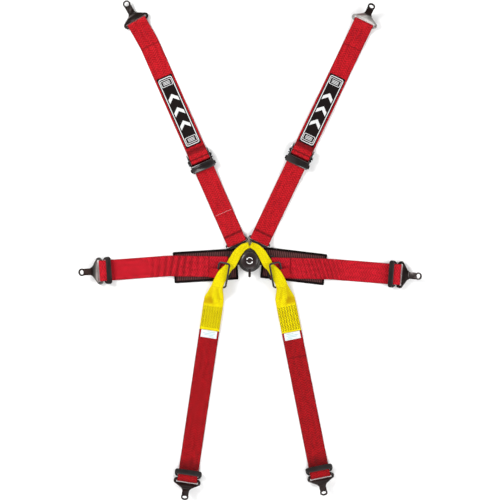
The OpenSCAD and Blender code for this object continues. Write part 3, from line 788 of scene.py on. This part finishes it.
def band(build, centres, halves, thick=PLY, start_along=0.0, fold=None, flip=1.0):
    """Adds a strip whose middle follows centres and whose edges are centres -/+ halves. fold(row, share)
    gives each point a lift along the strip's own normal and a painted shade."""
    tangent = np.gradient(centres, axis=0)
    normal = np.cross(tangent, halves)
    normal /= np.linalg.norm(normal, axis=1)[:, None]
    profile = section(WEBBING, thick, 11)
    share = profile[:, 0] / (WEBBING / 2)
    lift = np.tile(profile[:, 1], (len(centres), 1))
    shade = np.zeros_like(lift)
    if fold is not None:
        rise, shade = fold(np.arange(len(centres))[:, None], np.tile(share, (len(centres), 1)))
        lift = lift + rise * np.sign(normal[:, 2:3] * flip)
    points = (centres[:, None, :] + share[None, :, None] * halves[:, None, :]
              + normal[:, None, :] * lift[:, :, None] * flip)
    points[..., 2] = np.maximum(points[..., 2], GROUND)
    rows, columns = len(centres), len(profile)
    along = start_along + distances(centres)
    weave = np.zeros((rows, columns, 3))
    weave[..., 0] = profile[:, 0]
    weave[..., 1] = along[:, None]
    weave[..., 2] = shade
    steps = np.linalg.norm(np.diff(centres, axis=0), axis=1) * MM
    spans = np.linalg.norm(halves, axis=1) * 2 * MM
    build.length += float(steps.sum())
    build.width = max(build.width, float(spans.max()))
    build.area += float((steps * (spans[1:] + spans[:-1]) / 2).sum())
    build.add(points.reshape(-1, 3) * MM, tube_faces(rows, columns), weave.reshape(-1, 3))


def leg_loop(side):
    """One yellow webbing loop: round its shoulder tongue's neck, through its wire ring, to the sewn zone."""
    hand = HAND[side]
    out = np.array(JOINTS[f"shoulder_{side}_release"]["axis"]) * np.array([hand, 1, 1])
    q = np.array([out[1], -out[0], 0])
    neck = LOOP_S * out
    bight = neck - 10.5 * q
    low, high = 15.95, 17.5

    def at(p, z):
        return (p[0], p[1], z)

    under = [
        [(42, -2.5, low), (9.2, 5.6, 0)],
        [(36.5, 7, low), (9, 5.4, 0)],
        [(30.6, 17.2, low - 0.2), (7.2, 5.6, -0.4)],
        [at(neck + [12.2, -10.2, 0], 13.9), (4.4, 4.4, -0.6)],
        [at(neck + [9.9, -6.9, 0], 9), (3.9, 4.8, -0.2)],
        [at(neck + [8.9, -5, 0], 6.7), (3.6, 5.6, 0)],
        [at(neck, 6.6), tuple(7 * out)],
    ]
    turn = []
    for k in range(7):
        b = math.radians(-90 + 30 * k)
        turn.append([at(bight - 3.4 * math.cos(b) * q, 10 + 3.4 * math.sin(b)), tuple(7.6 * out)])
    over = [
        [at(neck, 13.7), tuple(9 * out + np.array([0, 0, -1.2]))],
        [at(neck + [7.7, -7.1, 0], 15.2), (6.4, 8, -1.4)],
        [(30.6, 17.2, high), (8.8, 7, -0.2)],
        [(36.5, 7, high), (10, 6, 0)],
        [(42, -2.5, high), (10.2, 6.4, 0)],
    ]
    top = np.array([90.0, -103.5, 0])
    way = CROTCH[side].turn[0]
    down = np.array([math.cos(way) * hand, math.sin(way), 0])
    across = np.array([-down[1], down[0], 0])
    lower = [
        [(46, -9.7, 16.75), (9.5, 7.1, 0)],
        [(50.5, -14.8, 16.75), (8.3, 7, 0.2)],
        [(56, -21, 16.9), (8.6, 7.4, 0.3)],
        [(65.5, -33, 17.3), (11.4, 7.8, 0.7)],
        [(73.5, -47, 18.6), (12.6, 5.8, -1)],
        [(78, -56.5, 19.2), (13.4, 5, -3.8)],
        [(81.5, -66, 18.2), (14.2, 4.6, -6.4)],
        [(85.5, -82, 9.6), (20, 3.6, -2)],
        [tuple(top - 11 * down + [0, 0, 3.7]), tuple(24 * across)],
        [tuple(top - 2.6 * down + [0, 0, 2.4]), tuple(24.6 * across)],
    ]
    length = SEWN_LEN[side]

    def sewn(z):
        places = [(4, 2.4 + (z - 2.4) * 0.4), (10, 2.4 + (z - 2.4) * 0.95)]
        places += [(s, z) for s in np.linspace(16, length, 6)]
        return [[tuple(top + s * down + [0, 0, height]), tuple(25 * across)] for s, height in places]

    def spread(stations, offset):
        moved = []
        c = np.array([st[0] for st in stations], float)
        h = np.array([st[1] for st in stations], float)
        n = np.cross(np.gradient(c, axis=0), h)
        n /= np.linalg.norm(n, axis=1)[:, None]
        n *= np.sign(n[:, 2:3])
        for k in range(len(stations)):
            moved.append([tuple(c[k] + n[k] * offset), stations[k][1]])
        return moved

    steps = 7
    first = spread(lower, -HALF_PLY) + sewn(0.8)
    last = spread(lower, HALF_PLY) + sewn(UPPER_PLY_Z)
    chain = first[::-1] + under + turn + over + last
    centres = catmull([c for c, _ in chain], steps)
    halves = catmull([h for _, h in chain], steps)
    flip = np.array([hand, 1, 1])
    origin = np.array([BUCKLE[0], BUCKLE[1], 0])
    centres = centres * flip + origin
    halves = halves * flip
    ring_cut = 6                       # station over the ring's lower bar
    fold_cut = 8                       # station just above the crotch strap's fold
    tail = len(first)

    total = (len(centres) - 1) / steps

    def crease(begin):
        """Lengthwise fold between the ring and the sewn zone, for plies that begin at a row, with painted
        shade in its hollows and on the flattened part.
        """

        def fold(row, share):
            t = (row + begin) / steps
            u = np.where(t < tail - 1, tail - 1 - t, t - (total - tail + 1))
            x = np.clip((u - 5.2) / 5.4, 0, 1)
            amount = smoothstep(x / 0.3) * (1 - smoothstep((x - 0.6) / 0.4))
            ridge = 0.35 - 0.75 * x
            rise = amount * (5.0 * bell(share - ridge, 0.34) - 1.2 * bell(share - ridge - 0.7, 0.3))
            painted_hollow_shade = bell(share - ridge - 0.45, 0.2) + 0.5 * bell(share - ridge + 0.4, 0.14)
            # painted shade over the flattened part next to the sewn zone
            flat = window(u, 7.4, 11.0, 1.4) * smoothstep((share - ridge - 0.1) / 0.4)
            return rise, np.clip(0.6 * amount * painted_hollow_shade + 0.75 * flat, 0, 0.9)

        return fold

    def cut(low_index, high_index, name, stands_for=()):
        """The plies between two stations counted from the loop's first lower station."""
        build = Build()
        a0, a1 = (tail - 1 - high_index) * steps, (tail - 1 - low_index) * steps
        base = len(centres) - 1
        b0, b1 = base - a1, base - a0
        for begin, stop in ((a0, a1), (b0, b1)):
            band(build, centres[begin:stop + 1], halves[begin:stop + 1], start_along=begin * 2.0,
                 fold=crease(begin), flip=hand)
        made = build.finish(name, YELLOW, "yellow_webbing", stands_for=stands_for)
        cloth(build)
        return made

    def world(p):
        p = np.array(p, float) * flip + origin
        return tuple(p * MM)

    build = Build()
    a0 = (tail - 1) * steps
    a1 = len(centres) - 1 - a0
    band(build, centres[a0:a1 + 1], halves[a0:a1 + 1], flip=hand)
    loop = build.finish(f"leg_loop_over_buckle_{side}", YELLOW, "yellow_webbing",
                        stands_for=("leg_loops_upper",) if side == "left" else ())
    cloth(build)
    if side == "right":
        world((33, 12, 16))
        world((44.5, -7.2, 16))
        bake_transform(loop)
    else:
        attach(loop, "buckle")
    entry = cut(0, ring_cut, f"leg_loop_in_ring_{side}", (f"leg_loop_lower_{side}",))
    world((66, -30, 18))
    world((79.5, -61, 18))
    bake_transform(entry)
    drop = cut(ring_cut, fold_cut, f"leg_loop_drop_{side}")
    world((82, -67.5, 16))
    world((87, -90, 5))
    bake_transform(drop)
    sewn_piece = cut(fold_cut, tail - 1, f"leg_loop_sewn_zone_{side}", (f"leg_loop_sewn_{side}",))
    run = CROTCH[side]
    run.point(-6.0)
    run.point(7.0)
    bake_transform(sewn_piece)


for side in SIDES:
    leg_loop(side)


def ring_keeper(side):
    """Keeper loop that holds the ring's hinge bar to the lap strap."""
    hand = HAND[side]
    place = RING_PLACE[side]
    axis = np.array(JOINTS[f"ring_{side}_swing"]["axis"], float)
    if axis[1] < 0:
        axis = -axis
    outward = np.cross(axis, [0, 0, 1.0])
    outward /= np.linalg.norm(outward)
    outward *= np.sign(outward[0]) * hand
    up = np.cross(outward, axis)
    up *= np.sign(up[2])
    line = even([(20, -1.8), (11, -1.8)] + arc(0, 0, 3.4, 50, 270) + [(6, -3.2), (20, -3.1)], 0.9, 0.6)
    centres = place + line[:, :1] * outward + line[:, 1:] * up
    halves = np.tile(axis * 12.0, (len(centres), 1))
    build = Build()
    band(build, centres, halves, 1.1)
    made = build.finish(f"keeper_loop_{side}", RED,
                        "red_webbing", LAP_BODY[side], (f"ring_keeper_{side}",))
    cloth(build)


for side in SIDES:
    ring_keeper(side)

# ---- Pads ----

PAD_LONG, PAD_WIDE = 161.0, 79.0
PAD_ANGLE = {"left": 3.5, "right": 6.8}
PAD_RIB = 4.6


def edged(half, gaps, inset, count):
    """Places from -half to half: close together at both edges, and even between the insets."""
    near = np.array(gaps)
    return np.concatenate([near - half, np.linspace(inset - half, half - inset, count), half - near[::-1]])


def lap_pad(side):
    """Thin padded cover with sewn ribs across it and a bound edge."""
    hand = HAND[side]
    low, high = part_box(f"lap_pad_{side}")
    middle = (np.array(low) + np.array(high)) / 2 / MM
    angle = math.radians(-PAD_ANGLE[side])
    ux = np.array([hand * math.cos(angle), math.sin(angle), 0])
    uy = np.array([-hand * math.sin(angle), math.cos(angle), 0])
    half_x, half_y, corner = PAD_LONG / 2 - 0.5, PAD_WIDE / 2 - 0.5, 3.0
    xs = edged(half_x, (0, 0.35, 1.0, 2.0), 3.0, 301)
    ys = edged(half_y, (0, 0.35, 1.0, 2.0, 3.2, 5.4, 6.2), 7.5, 15)
    gx, gy = np.meshgrid(xs, ys, indexing="ij")
    over_x = np.clip(np.abs(gx) - (half_x - corner), 0, corner) / corner
    over_y = np.clip(np.abs(gy) - (half_y - corner), 0, corner) / corner
    reach = np.maximum(over_x, over_y)
    radial = np.sqrt(over_x ** 2 + over_y ** 2)
    squeeze = np.where(radial > 1e-6, reach / np.maximum(radial, 1e-6), 1.0)
    px = np.sign(gx) * (np.minimum(np.abs(gx), half_x - corner) + over_x * corner * squeeze)
    py = np.sign(gy) * (np.minimum(np.abs(gy), half_y - corner) + over_y * corner * squeeze)
    border = np.minimum(half_x - np.abs(gx), half_y - np.abs(gy))
    round_off = np.sqrt(np.clip(1 - (1 - np.clip(border / 2.4, 0, 1)) ** 2, 0, 1))
    inside = smoothstep((border - 5.6) / 1.0)
    rib = 0.5 + 0.5 * np.cos(2 * math.pi * gx / PAD_RIB)
    seam = bell(border - 5.6, 0.5)
    crown = 0.25 * (1 - (gy / half_y) ** 2)
    wobble = 0.06 * np.sin(gx / 9.0 + gy / 7.0)
    height = 2.75 + crown + inside * (0.5 * rib - 0.35) + wobble - 0.55 * seam
    top = 1.7 + (height - 1.7) * round_off
    bottom = 1.7 - 1.62 * round_off
    # painted highlight on the rib crests, carried in the weave's third channel
    crest_highlight = inside * rib
    rows, columns = gx.shape

    def points(z):
        p = middle * [1, 1, 0] + px[..., None] * ux + py[..., None] * uy
        p[..., 2] = z
        return p.reshape(-1, 3) * MM

    upper, lower = points(top), points(bottom)
    faces = grid_faces(rows, columns, False)
    count = rows * columns
    all_faces = list(faces) + [tuple(count + i for i in f) for f in faces]
    weave = np.stack([gy, gx, crest_highlight], -1).reshape(-1, 3)
    made = piece(f"pad_{side}", np.concatenate([upper, lower]), all_faces, PAD,
                 np.concatenate([weave, weave * [1, 1, 0]]), weld=2e-6)
    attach(made, LAP_BODY[side])
    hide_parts(f"lap_pad_{side}")


for side in SIDES:
    lap_pad(side)

# ---- Labels, patches and prints ----

LABEL_S = {"left": 319.0, "right": 323.0}
LABEL_LEN, LABEL_WIDE = 188.0, 41.0
PRINT_RISE = 0.62                # print's height over the label's middle


def label_path(side):
    """Distances where the label steps down with its strap past the tail, and its heights there."""
    return [ADJUSTER_S[side] + 150, ADJUSTER_S[side] + 175], [3.98, 2.04]


def stripe(build, side, outline):
    """Adds a printed line as a ring of quads between two closed outlines of (s, y) points."""
    outer, inner = outline
    count = len(outer)
    line = np.concatenate([outer, inner])
    z = printed_height(side, line[:, 0], line[:, 1])
    points = SHOULDER[side].place(line[:, 0], line[:, 1], z)
    faces = [(k, (k + 1) % count, count + (k + 1) % count, count + k) for k in range(count)]
    build.add(points, faces, np.stack([line[:, 1], line[:, 0], 0 * z], 1))


def printed_height(side, s, y):
    return np.interp(s, *label_path(side)) + LIFTS["upper", side](s, y) + PRINT_RISE


def rounded(cx, cy, w, h, r, n=6):
    """Outline points of a rounded rectangle, with extra points along its long sides."""
    points = []
    for sx, sy, a0 in ((1, 1, 0), (-1, 1, 90), (-1, -1, 180), (1, -1, 270)):
        for k in range(n + 1):
            a = math.radians(a0 + 90 * k / n)
            points.append((cx + sx * (w / 2 - r) + r * math.cos(a), cy + sy * (h / 2 - r) + r * math.sin(a)))
    dense = []
    for k in range(len(points)):
        a, b = np.array(points[k]), np.array(points[(k + 1) % len(points)])
        parts = max(1, int(np.linalg.norm(b - a) / 4))
        dense += [tuple(a + (b - a) * i / parts) for i in range(parts)]
    return dense


def ring_outline(cx, cy, w, h, r, line):
    """A rounded rectangle's outline, and the same outline moved inward by the line's width."""
    centre, straight = np.array([cx, cy], float), np.array([w / 2 - r, h / 2 - r])
    outer = np.array(rounded(cx, cy, w, h, r))
    core = centre + np.clip(outer - centre, -straight, straight)
    return outer, core + (outer - core) * (1 - line / r)


def block(build, side, corners, step=3.0):
    """Adds a filled quad of print, split along its length so that it follows the strap."""
    a, b, c, d = (np.array(p, float) for p in corners)
    parts = max(1, int(np.linalg.norm(b - a) / step))
    rows = []
    for k in range(parts + 1):
        t = k / parts
        rows += [a + (b - a) * t, d + (c - d) * t]
    rows = np.array(rows)
    z = printed_height(side, rows[:, 0], rows[:, 1])
    points = SHOULDER[side].place(rows[:, 0], rows[:, 1], z)
    faces = [(2 * k, 2 * k + 2, 2 * k + 3, 2 * k + 1) for k in range(parts)]
    build.add(points, faces, np.stack([rows[:, 1], rows[:, 0], 0 * z], 1))


def shoulder_label(side):
    """Black woven label with a white border, two boxed end panels and three plain chevrons."""
    run, start = SHOULDER[side], LABEL_S[side]
    body = f"shoulder_{side}_upper"
    (step_s, down_s), (high, low) = label_path(side)
    label = Build()
    ribbon(label, run,
           [(start, high), (step_s, high), (down_s, low), (start + LABEL_LEN, low)],
           LABEL_WIDE, 0.8, lift=LIFTS["upper", side])
    made = label.finish(f"label_{side}", LABEL, "label_cloth", body, (f"shoulder_label_{side}",))
    cloth(label)
    prints = Build()
    mid = start + LABEL_LEN / 2
    stripe(prints, side, ring_outline(mid, 0, LABEL_LEN - 7, LABEL_WIDE - 5, 5.5, 2.0))
    for s in (start + 17, start + LABEL_LEN - 17):
        stripe(prints, side, ring_outline(s, 0, 17, 29, 2.5, 1.4))
        for offset in (-3.3, 0.0, 3.3):
            block(prints, side, [(s + offset - 0.8, -9), (s + offset - 0.8, 9), (s + offset + 0.8, 9),
                                 (s + offset + 0.8, -9)])
    arm, wide, thick = 12.0, 13.0, 10.5
    for k in (-1, 0, 1):
        tip = mid + k * 36 + 11
        for m in (-1, 1):
            block(prints, side, [(tip, 0), (tip - arm, m * wide), (tip - arm - thick, m * wide),
                                 (tip - thick, 0)], 2.0)
    prints.finish(f"label_print_{side}", PRINT, "label_cloth", body, smooth=False)


def sewn_patch(side):
    """Plain white care patch under the sewn zone."""
    run = CROTCH[side]
    start, height = SEWN_LEN[side] + 0.3, 3.5
    build = Build()
    lift = LIFTS["crotch", side]
    ribbon(build, run, [(start, height), (start + 19, height)], 40, 0.4, soften=0.0, lift=lift)
    made = build.finish(f"white_patch_{side}", PATCH, "label_cloth", f"crotch_{side}")
    cloth(build)
    bars = Build()
    for s, begin, end in ((4.5, -15, 4), (8.5, -15, 15), (12.0, -12, 11), (15.5, -15, -1)):
        y = np.array([begin, end, end, begin], float)
        along = start + s + np.array([-0.7, -0.7, 0.7, 0.7])
        bars.add(run.place(along, y, height + 0.24 + lift(along, y)), [(0, 1, 2, 3)])
    bars.finish(f"patch_bars_{side}", PATCH_INK, "label_cloth", f"crotch_{side}", smooth=False)


for side in SIDES:
    shoulder_label(side)
    sewn_patch(side)

# ---- Stitching ----


def thread(build, a, b, radius=0.32, sides=6):
    """Adds one stitch: a short capsule from a to b, in millimetres, pressed into the cloth."""
    a, b = np.array(a, float), np.array(b, float)
    along = b - a
    length = np.linalg.norm(along)
    if length < 1e-6:
        return
    along /= length
    side_way = np.cross(along, [0, 0, 1.0])
    side_way /= max(np.linalg.norm(side_way), 1e-9)
    up = np.cross(side_way, along)
    rings = [(0.0, 0.15, -0.25), (0.12, 0.8, 0.0), (0.5, 1.0, 0.06), (0.88, 0.8, 0.0), (1.0, 0.15, -0.25)]
    points = []
    for share, size, rise in rings:
        centre = a + along * length * share + up * rise * radius * 2
        for k in range(sides):
            t = 2 * math.pi * k / sides
            points.append((centre + radius * size * (math.cos(t) * side_way + math.sin(t) * up)) * MM)
    faces = grid_faces(len(rings), sides, True)
    faces += [tuple(range(sides)), tuple(len(rings) * sides - 1 - k for k in range(sides))]
    build.add(points, faces)


def stitch_path(build, run, height, path, pitch=3.2, gap=0.9, radius=0.32):
    """Stitches along a line of (s, y) points that lies at height(s, y)."""
    path = np.array(path, float)
    far = distances(path)
    count = max(1, int(far[-1] / pitch))
    ticks = np.linspace(0, far[-1], count + 1)
    for k in range(count):
        ends = []
        for t in (ticks[k] + gap / 2, ticks[k + 1] - gap / 2):
            s, y = np.interp(t, far, path[:, 0]), np.interp(t, far, path[:, 1])
            ends.append(run.place([s], [y], [height(s, y)])[0] / MM)
        thread(build, ends[0], ends[1], radius)


def zigzags(build, run, height, s0, s1, half, turns, shifts):
    """Rows of W stitching that cross the webbing."""
    for shift in shifts:
        path = [((s0, s1)[k % 2] + shift, -half + 2 * half * k / turns) for k in range(turns + 1)]
        stitch_path(build, run, height, path)


def crossing(s, half):
    return [(s, -half), (s, half)]


def top_face(lift, along, heights):
    """Height of a strap's upper face at (s, y), from its middle's heights at some distances."""

    def height(s, y):
        return float(np.interp(s, along, heights) + HALF_PLY + lift(s, np.array(y)))

    return height


def lap_stitching(side):
    build, run = Build(), LAP[side]
    top = top_face(LIFTS["lap", side], [66, 74, 82, 102], [10.6, 7.2, 6.05, 6.05])
    zigzags(build, run, top, 78, 92, 22, 8, (0.0, 3.2, 6.4))
    for s in (76, 99.5):
        stitch_path(build, run, top, crossing(s, 23))
    build.finish(f"lap_stitching_{side}", RED_THREAD, "red_webbing", LAP_BODY[side])


def shoulder_stitching(side):
    run, f, end = SHOULDER[side], ADJUSTER_S[side], SHOULDER_S[side]
    top = top_face(LIFTS["lower", side], [80, 105, 120, 130, 137, f - 60, f - 20],
                   [2.85, 0.8, 0.8, 2.42, 2.45, 2.45, 5.85])
    tack = Build()
    stitch_path(tack, run, top, crossing(136, 22), 3.4, 1.2)
    tack.finish(f"shoulder_tack_{side}", WHITE_THREAD if side == "left" else RED_THREAD,
                "red_webbing", f"shoulder_{side}_lower")
    build = Build()
    zigzags(build, run, top, 142, 168, 21, 6, (0.0, 5.0))
    build.finish(f"shoulder_stitching_{side}", RED_THREAD, "red_webbing", f"shoulder_{side}_lower")

    build = Build()
    top = top_face(LIFTS["upper", side], [end - 62, end - 50, end - 18], [0.8, 2.5, 3.4])
    zigzags(build, run, top, end - 46, end - 24, 21, 8, (0.0, 4.5))
    stitch_path(build, run, top, crossing(end - 48, 22))
    build.finish(f"anchor_stitching_{side}", RED_THREAD, "red_webbing", f"shoulder_{side}_upper")


def sewn_zone_stitching(side):
    """Seven wavy rows and two straight ones, proud of the yellow webbing's top ply."""
    build, run, length = Build(), CROTCH[side], SEWN_LEN[side]
    pace, sway = 3.8, 2.4

    def top(s, y):
        return UPPER_PLY_Z + 1.0

    for row in range(7):
        middle = -19.5 + 6.5 * row
        turns = int((length - 15) / pace) + 1
        chain = [(11 + pace * n, middle + (sway if n % 2 else -sway)) for n in range(turns)]
        stitch_path(build, run, top, chain, 4.6, 0.9, 0.85)
    for y in (-23.1, 23.1):
        stitch_path(build, run, top, [(8, y), (length - 3, y)], 3.6, 1.2, 0.5)
    build.finish(f"sewn_zone_stitching_{side}", GOLD_THREAD, "yellow_webbing", f"crotch_{side}")


for side in SIDES:
    lap_stitching(side)
    shoulder_stitching(side)
    sewn_zone_stitching(side)

# ---- Hardware ----


def dress(node, material, bevel=0.35):
    """Gives a CAD node its finish and rounds its sharp edges a little."""
    made = NODES[node]
    made.data.materials.clear()
    made.data.materials.append(material)
    weld = made.modifiers.new("weld", "WELD")
    weld.merge_threshold = 1e-6
    if bevel:
        edge = made.modifiers.new("edge", "BEVEL")
        edge.width = bevel * MM
        edge.segments = 2
        edge.limit_method = "ANGLE"
        edge.angle_limit = math.radians(40)
        edge.harden_normals = True
    made.data.shade_smooth()


def plate_with_painted_light(node, light, joint, outward):
    """Bare plate with a painted reflection: a bright copy of the metal's colour, with painted shade on the
    bent arm, which turns away from the light.
    """
    paint = Paint(f"{node}_finish", 0.34, 0.9)
    into = NODES[node].matrix_world.inverted()
    direction = into.to_3x3() @ Vector(outward).normalized()
    start = into @ (Vector(JOINTS[joint]["pos_m"]) + Vector(outward).normalized() * 0.019)
    away = paint.node("ShaderNodeVectorMath", operation="DOT_PRODUCT")
    paint.tree.links.new(paint.node("ShaderNodeTexCoord").outputs["Object"], away.inputs[0])
    away.inputs[1].default_value = direction
    offset = paint.math("SUBTRACT", away.outputs["Value"], start.dot(direction))
    smudge = paint.noise(60.0, 5.0)
    arm = paint.smooth(paint.math("MULTIPLY_ADD", smudge, 0.006, offset), 0.001, 0.009)
    # painted reflection in the plate's bright colour, and painted shade mixed in toward near black on the
    # arm
    body = paint.mix(paint.smooth(smudge, 0.3, 0.8), tuple(c * 0.75 for c in light), light)
    paint.colour(paint.mix(arm, body, (0.012, 0.006, 0.005)))
    paint.rough(paint.math("MULTIPLY_ADD", smudge, 0.2, 0.25))
    return paint.material


def hardware():
    dress("buckle_housing", CASE_BLACK, 0.3)
    dress("buckle_back_plate", GUNMETAL, 0.2)
    dress("release_dial", DIAL_BLACK, 0.3)
    dress("tongue_guide", CASE_BLACK, 0.0)
    for node in ("buckle_screws", "latch_spring_left", "latch_spring_right", "latch_spring_lap",
                 "return_spring", "release_cam", "dial_screw"):
        dress(node, STEEL, 0.0)
    for side in SIDES:
        dress(f"shoulder_tongue_{side}", TONGUE_BLACK)
        dress(f"lap_tongue_{side}", TONGUE_BLACK)
        dress(f"adjuster_frame_{side}", BLACK_STEEL)
        dress(f"adjuster_cover_{side}", GLOSS_BLACK)
        dress(f"adjuster_roller_{side}", STEEL, 0.2)
        dress(f"leg_ring_{side}", BLACK_STEEL, 0.0)
        for kind in ("lap", "crotch"):
            dress(f"{kind}_slide_{side}", BLACK_STEEL, 0.5)
        for kind in ("shoulder", "lap", "crotch"):
            node, turn = f"{kind}_anchor_{side}", f"{kind}_{side}_anchor_turn"
            # the right shoulder and left lap anchors get a painted reflection and a painted-shade arm; the
            # others stay plain gunmetal
            if (kind, side) == ("shoulder", "right"):
                outward = SHOULDER[side].way(SHOULDER_S[side])
                finish = plate_with_painted_light(node, (0.5, 0.48, 0.46), turn, outward)
            elif (kind, side) == ("lap", "left"):
                finish = plate_with_painted_light(node, (0.17, 0.155, 0.145), turn, LAP[side].way(LAP_S[side]))
            else:
                finish = GUNMETAL
            dress(node, finish, 0.45)


hardware()


def drop_on(node, points):
    """Heights in metres of a CAD node's top surface at (x, y) points in metres."""
    made = NODES[node]
    tree = BVHTree.FromPolygons([made.matrix_world @ v.co for v in made.data.vertices],
                                [tuple(p.vertices) for p in made.data.polygons])
    heights = []
    for x, y in points:
        hit = tree.ray_cast(Vector((x, y, 1.0)), Vector((0, 0, -1)))[0]
        heights.append(hit.z)
    return heights


def dial_mark():
    """Two plain curved arrows that show which ways the dial turns."""
    build = Build()
    radius, half_line, head = 7.6, 0.75, 2.3
    for begin in (20, 200):
        angles = np.radians(np.linspace(begin, begin + 118, 22))
        strip = [(r * math.cos(a), r * math.sin(a)) for a in angles
                 for r in (radius - half_line, radius + half_line)]
        faces = [(2 * k, 2 * k + 2, 2 * k + 3, 2 * k + 1) for k in range(21)]
        end = angles[-1]
        tip = end + head * 1.7 / radius
        strip += [((radius - head) * math.cos(end), (radius - head) * math.sin(end)),
                  ((radius + head) * math.cos(end), (radius + head) * math.sin(end)),
                  (radius * math.cos(tip), radius * math.sin(tip))]
        faces.append((44, 45, 46))
        flat = [((x + BUCKLE[0]) * MM, (y + BUCKLE[1]) * MM) for x, y in strip]
        heights = drop_on("release_dial", flat)
        points = [(x, y, z + 0.00015) for (x, y), z in zip(flat, heights)]
        build.add(points, faces)
    build.finish("dial_arrows", MARK_WHITE, "dial_black", "dial", smooth=False)


def disc(build, run, s, z, y0, y1, radii, sides=20):
    """Adds a turned part along the strap's across axis, from y0 to y1 with the given end radii."""
    rows = [(y0, 0.01), (y0, radii[0]), (y1, radii[1]), (y1, 0.01)]
    angles = [2 * math.pi * k / sides for k in range(sides)]
    points = [run.point(s + r * math.cos(a), y, z + r * math.sin(a)) for y, r in rows for a in angles]
    build.add(points, grid_faces(len(rows), sides, True)
              + [tuple(range(sides)), tuple(3 * sides + k for k in range(sides))])


def adjuster_rivets(side):
    """Riveted ends of the two bars outside the adjuster's cheeks."""
    rivets = Build()
    for s, z in ((0.0, 7.6), (28.0, 9.2)):
        for m in (-1, 1):
            disc(rivets, SHOULDER[side], ADJUSTER_S[side] + s, z, m * 28.8, m * 29.9, (2.4, 1.7))
    rivets.finish(f"adjuster_rivets_{side}", STEEL, "steel", f"adjuster_{side}", smooth=False)


def adjuster_ears(side):
    """Small tabs that stand out from the adjuster's cheeks."""
    run, f = SHOULDER[side], ADJUSTER_S[side]
    root, taper = 28.2, 2.5
    ears = Build()
    for m in (-1, 1):
        for s0, s1, z, reach in ((-9.0, 3.0, 12.2, 33.0), (9.5, 24.0, 13.6, 31.6)):
            outline = [(s0, root), (s0 + taper, reach), (s1 - taper, reach), (s1, root)]
            middle = (s0 + s1) / 2
            points = []
            for grow, height in ((0.0, z - 0.9), (0.35, z - 0.6), (0.35, z + 0.2), (0.0, z + 0.5)):
                for s, y in outline:
                    outward = m * (y + grow * (y > root))
                    points.append(run.point(f + s + grow * np.sign(s - middle), outward, height))
            ears.add(points, grid_faces(4, 4, True) + [(0, 1, 2, 3), (12, 13, 14, 15)])
    ears.finish(f"adjuster_ears_{side}", GLOSS_BLACK, "black_steel", f"adjuster_{side}", smooth=False)


def adjuster_springs(side):
    """A short coil round the pin outside each of the adjuster's cheeks."""
    run, f = SHOULDER[side], ADJUSTER_S[side]
    turns, reach, wire, sides, steps = 3.0, 4.6, 0.5, 8, 72
    spring = Build()
    for m in (-1, 1):
        share = np.arange(steps + 1) / steps
        angle = 2 * math.pi * turns * share
        centre = np.stack([f + 15 + reach * np.cos(angle), m * (29.6 + 2.6 * share),
                           9.2 + reach * np.sin(angle)], 1)
        points = []
        for c, t in zip(centre, np.gradient(centre, axis=0)):
            t = t / np.linalg.norm(t)
            u = np.cross(t, [0, 1, 0])
            u /= np.linalg.norm(u)
            v = np.cross(t, u)
            for k in range(sides):
                b = 2 * math.pi * k / sides
                points.append(run.point(*(c + wire * (math.cos(b) * u + math.sin(b) * v))))
        spring.add(points, grid_faces(len(centre), sides, True)
                   + [tuple(range(sides)), tuple(steps * sides + k for k in range(sides))])
    spring.finish(f"adjuster_springs_{side}", STEEL, "steel", f"adjuster_{side}")


dial_mark()
for side in SIDES:
    adjuster_ears(side)
    adjuster_rivets(side)
    adjuster_springs(side)
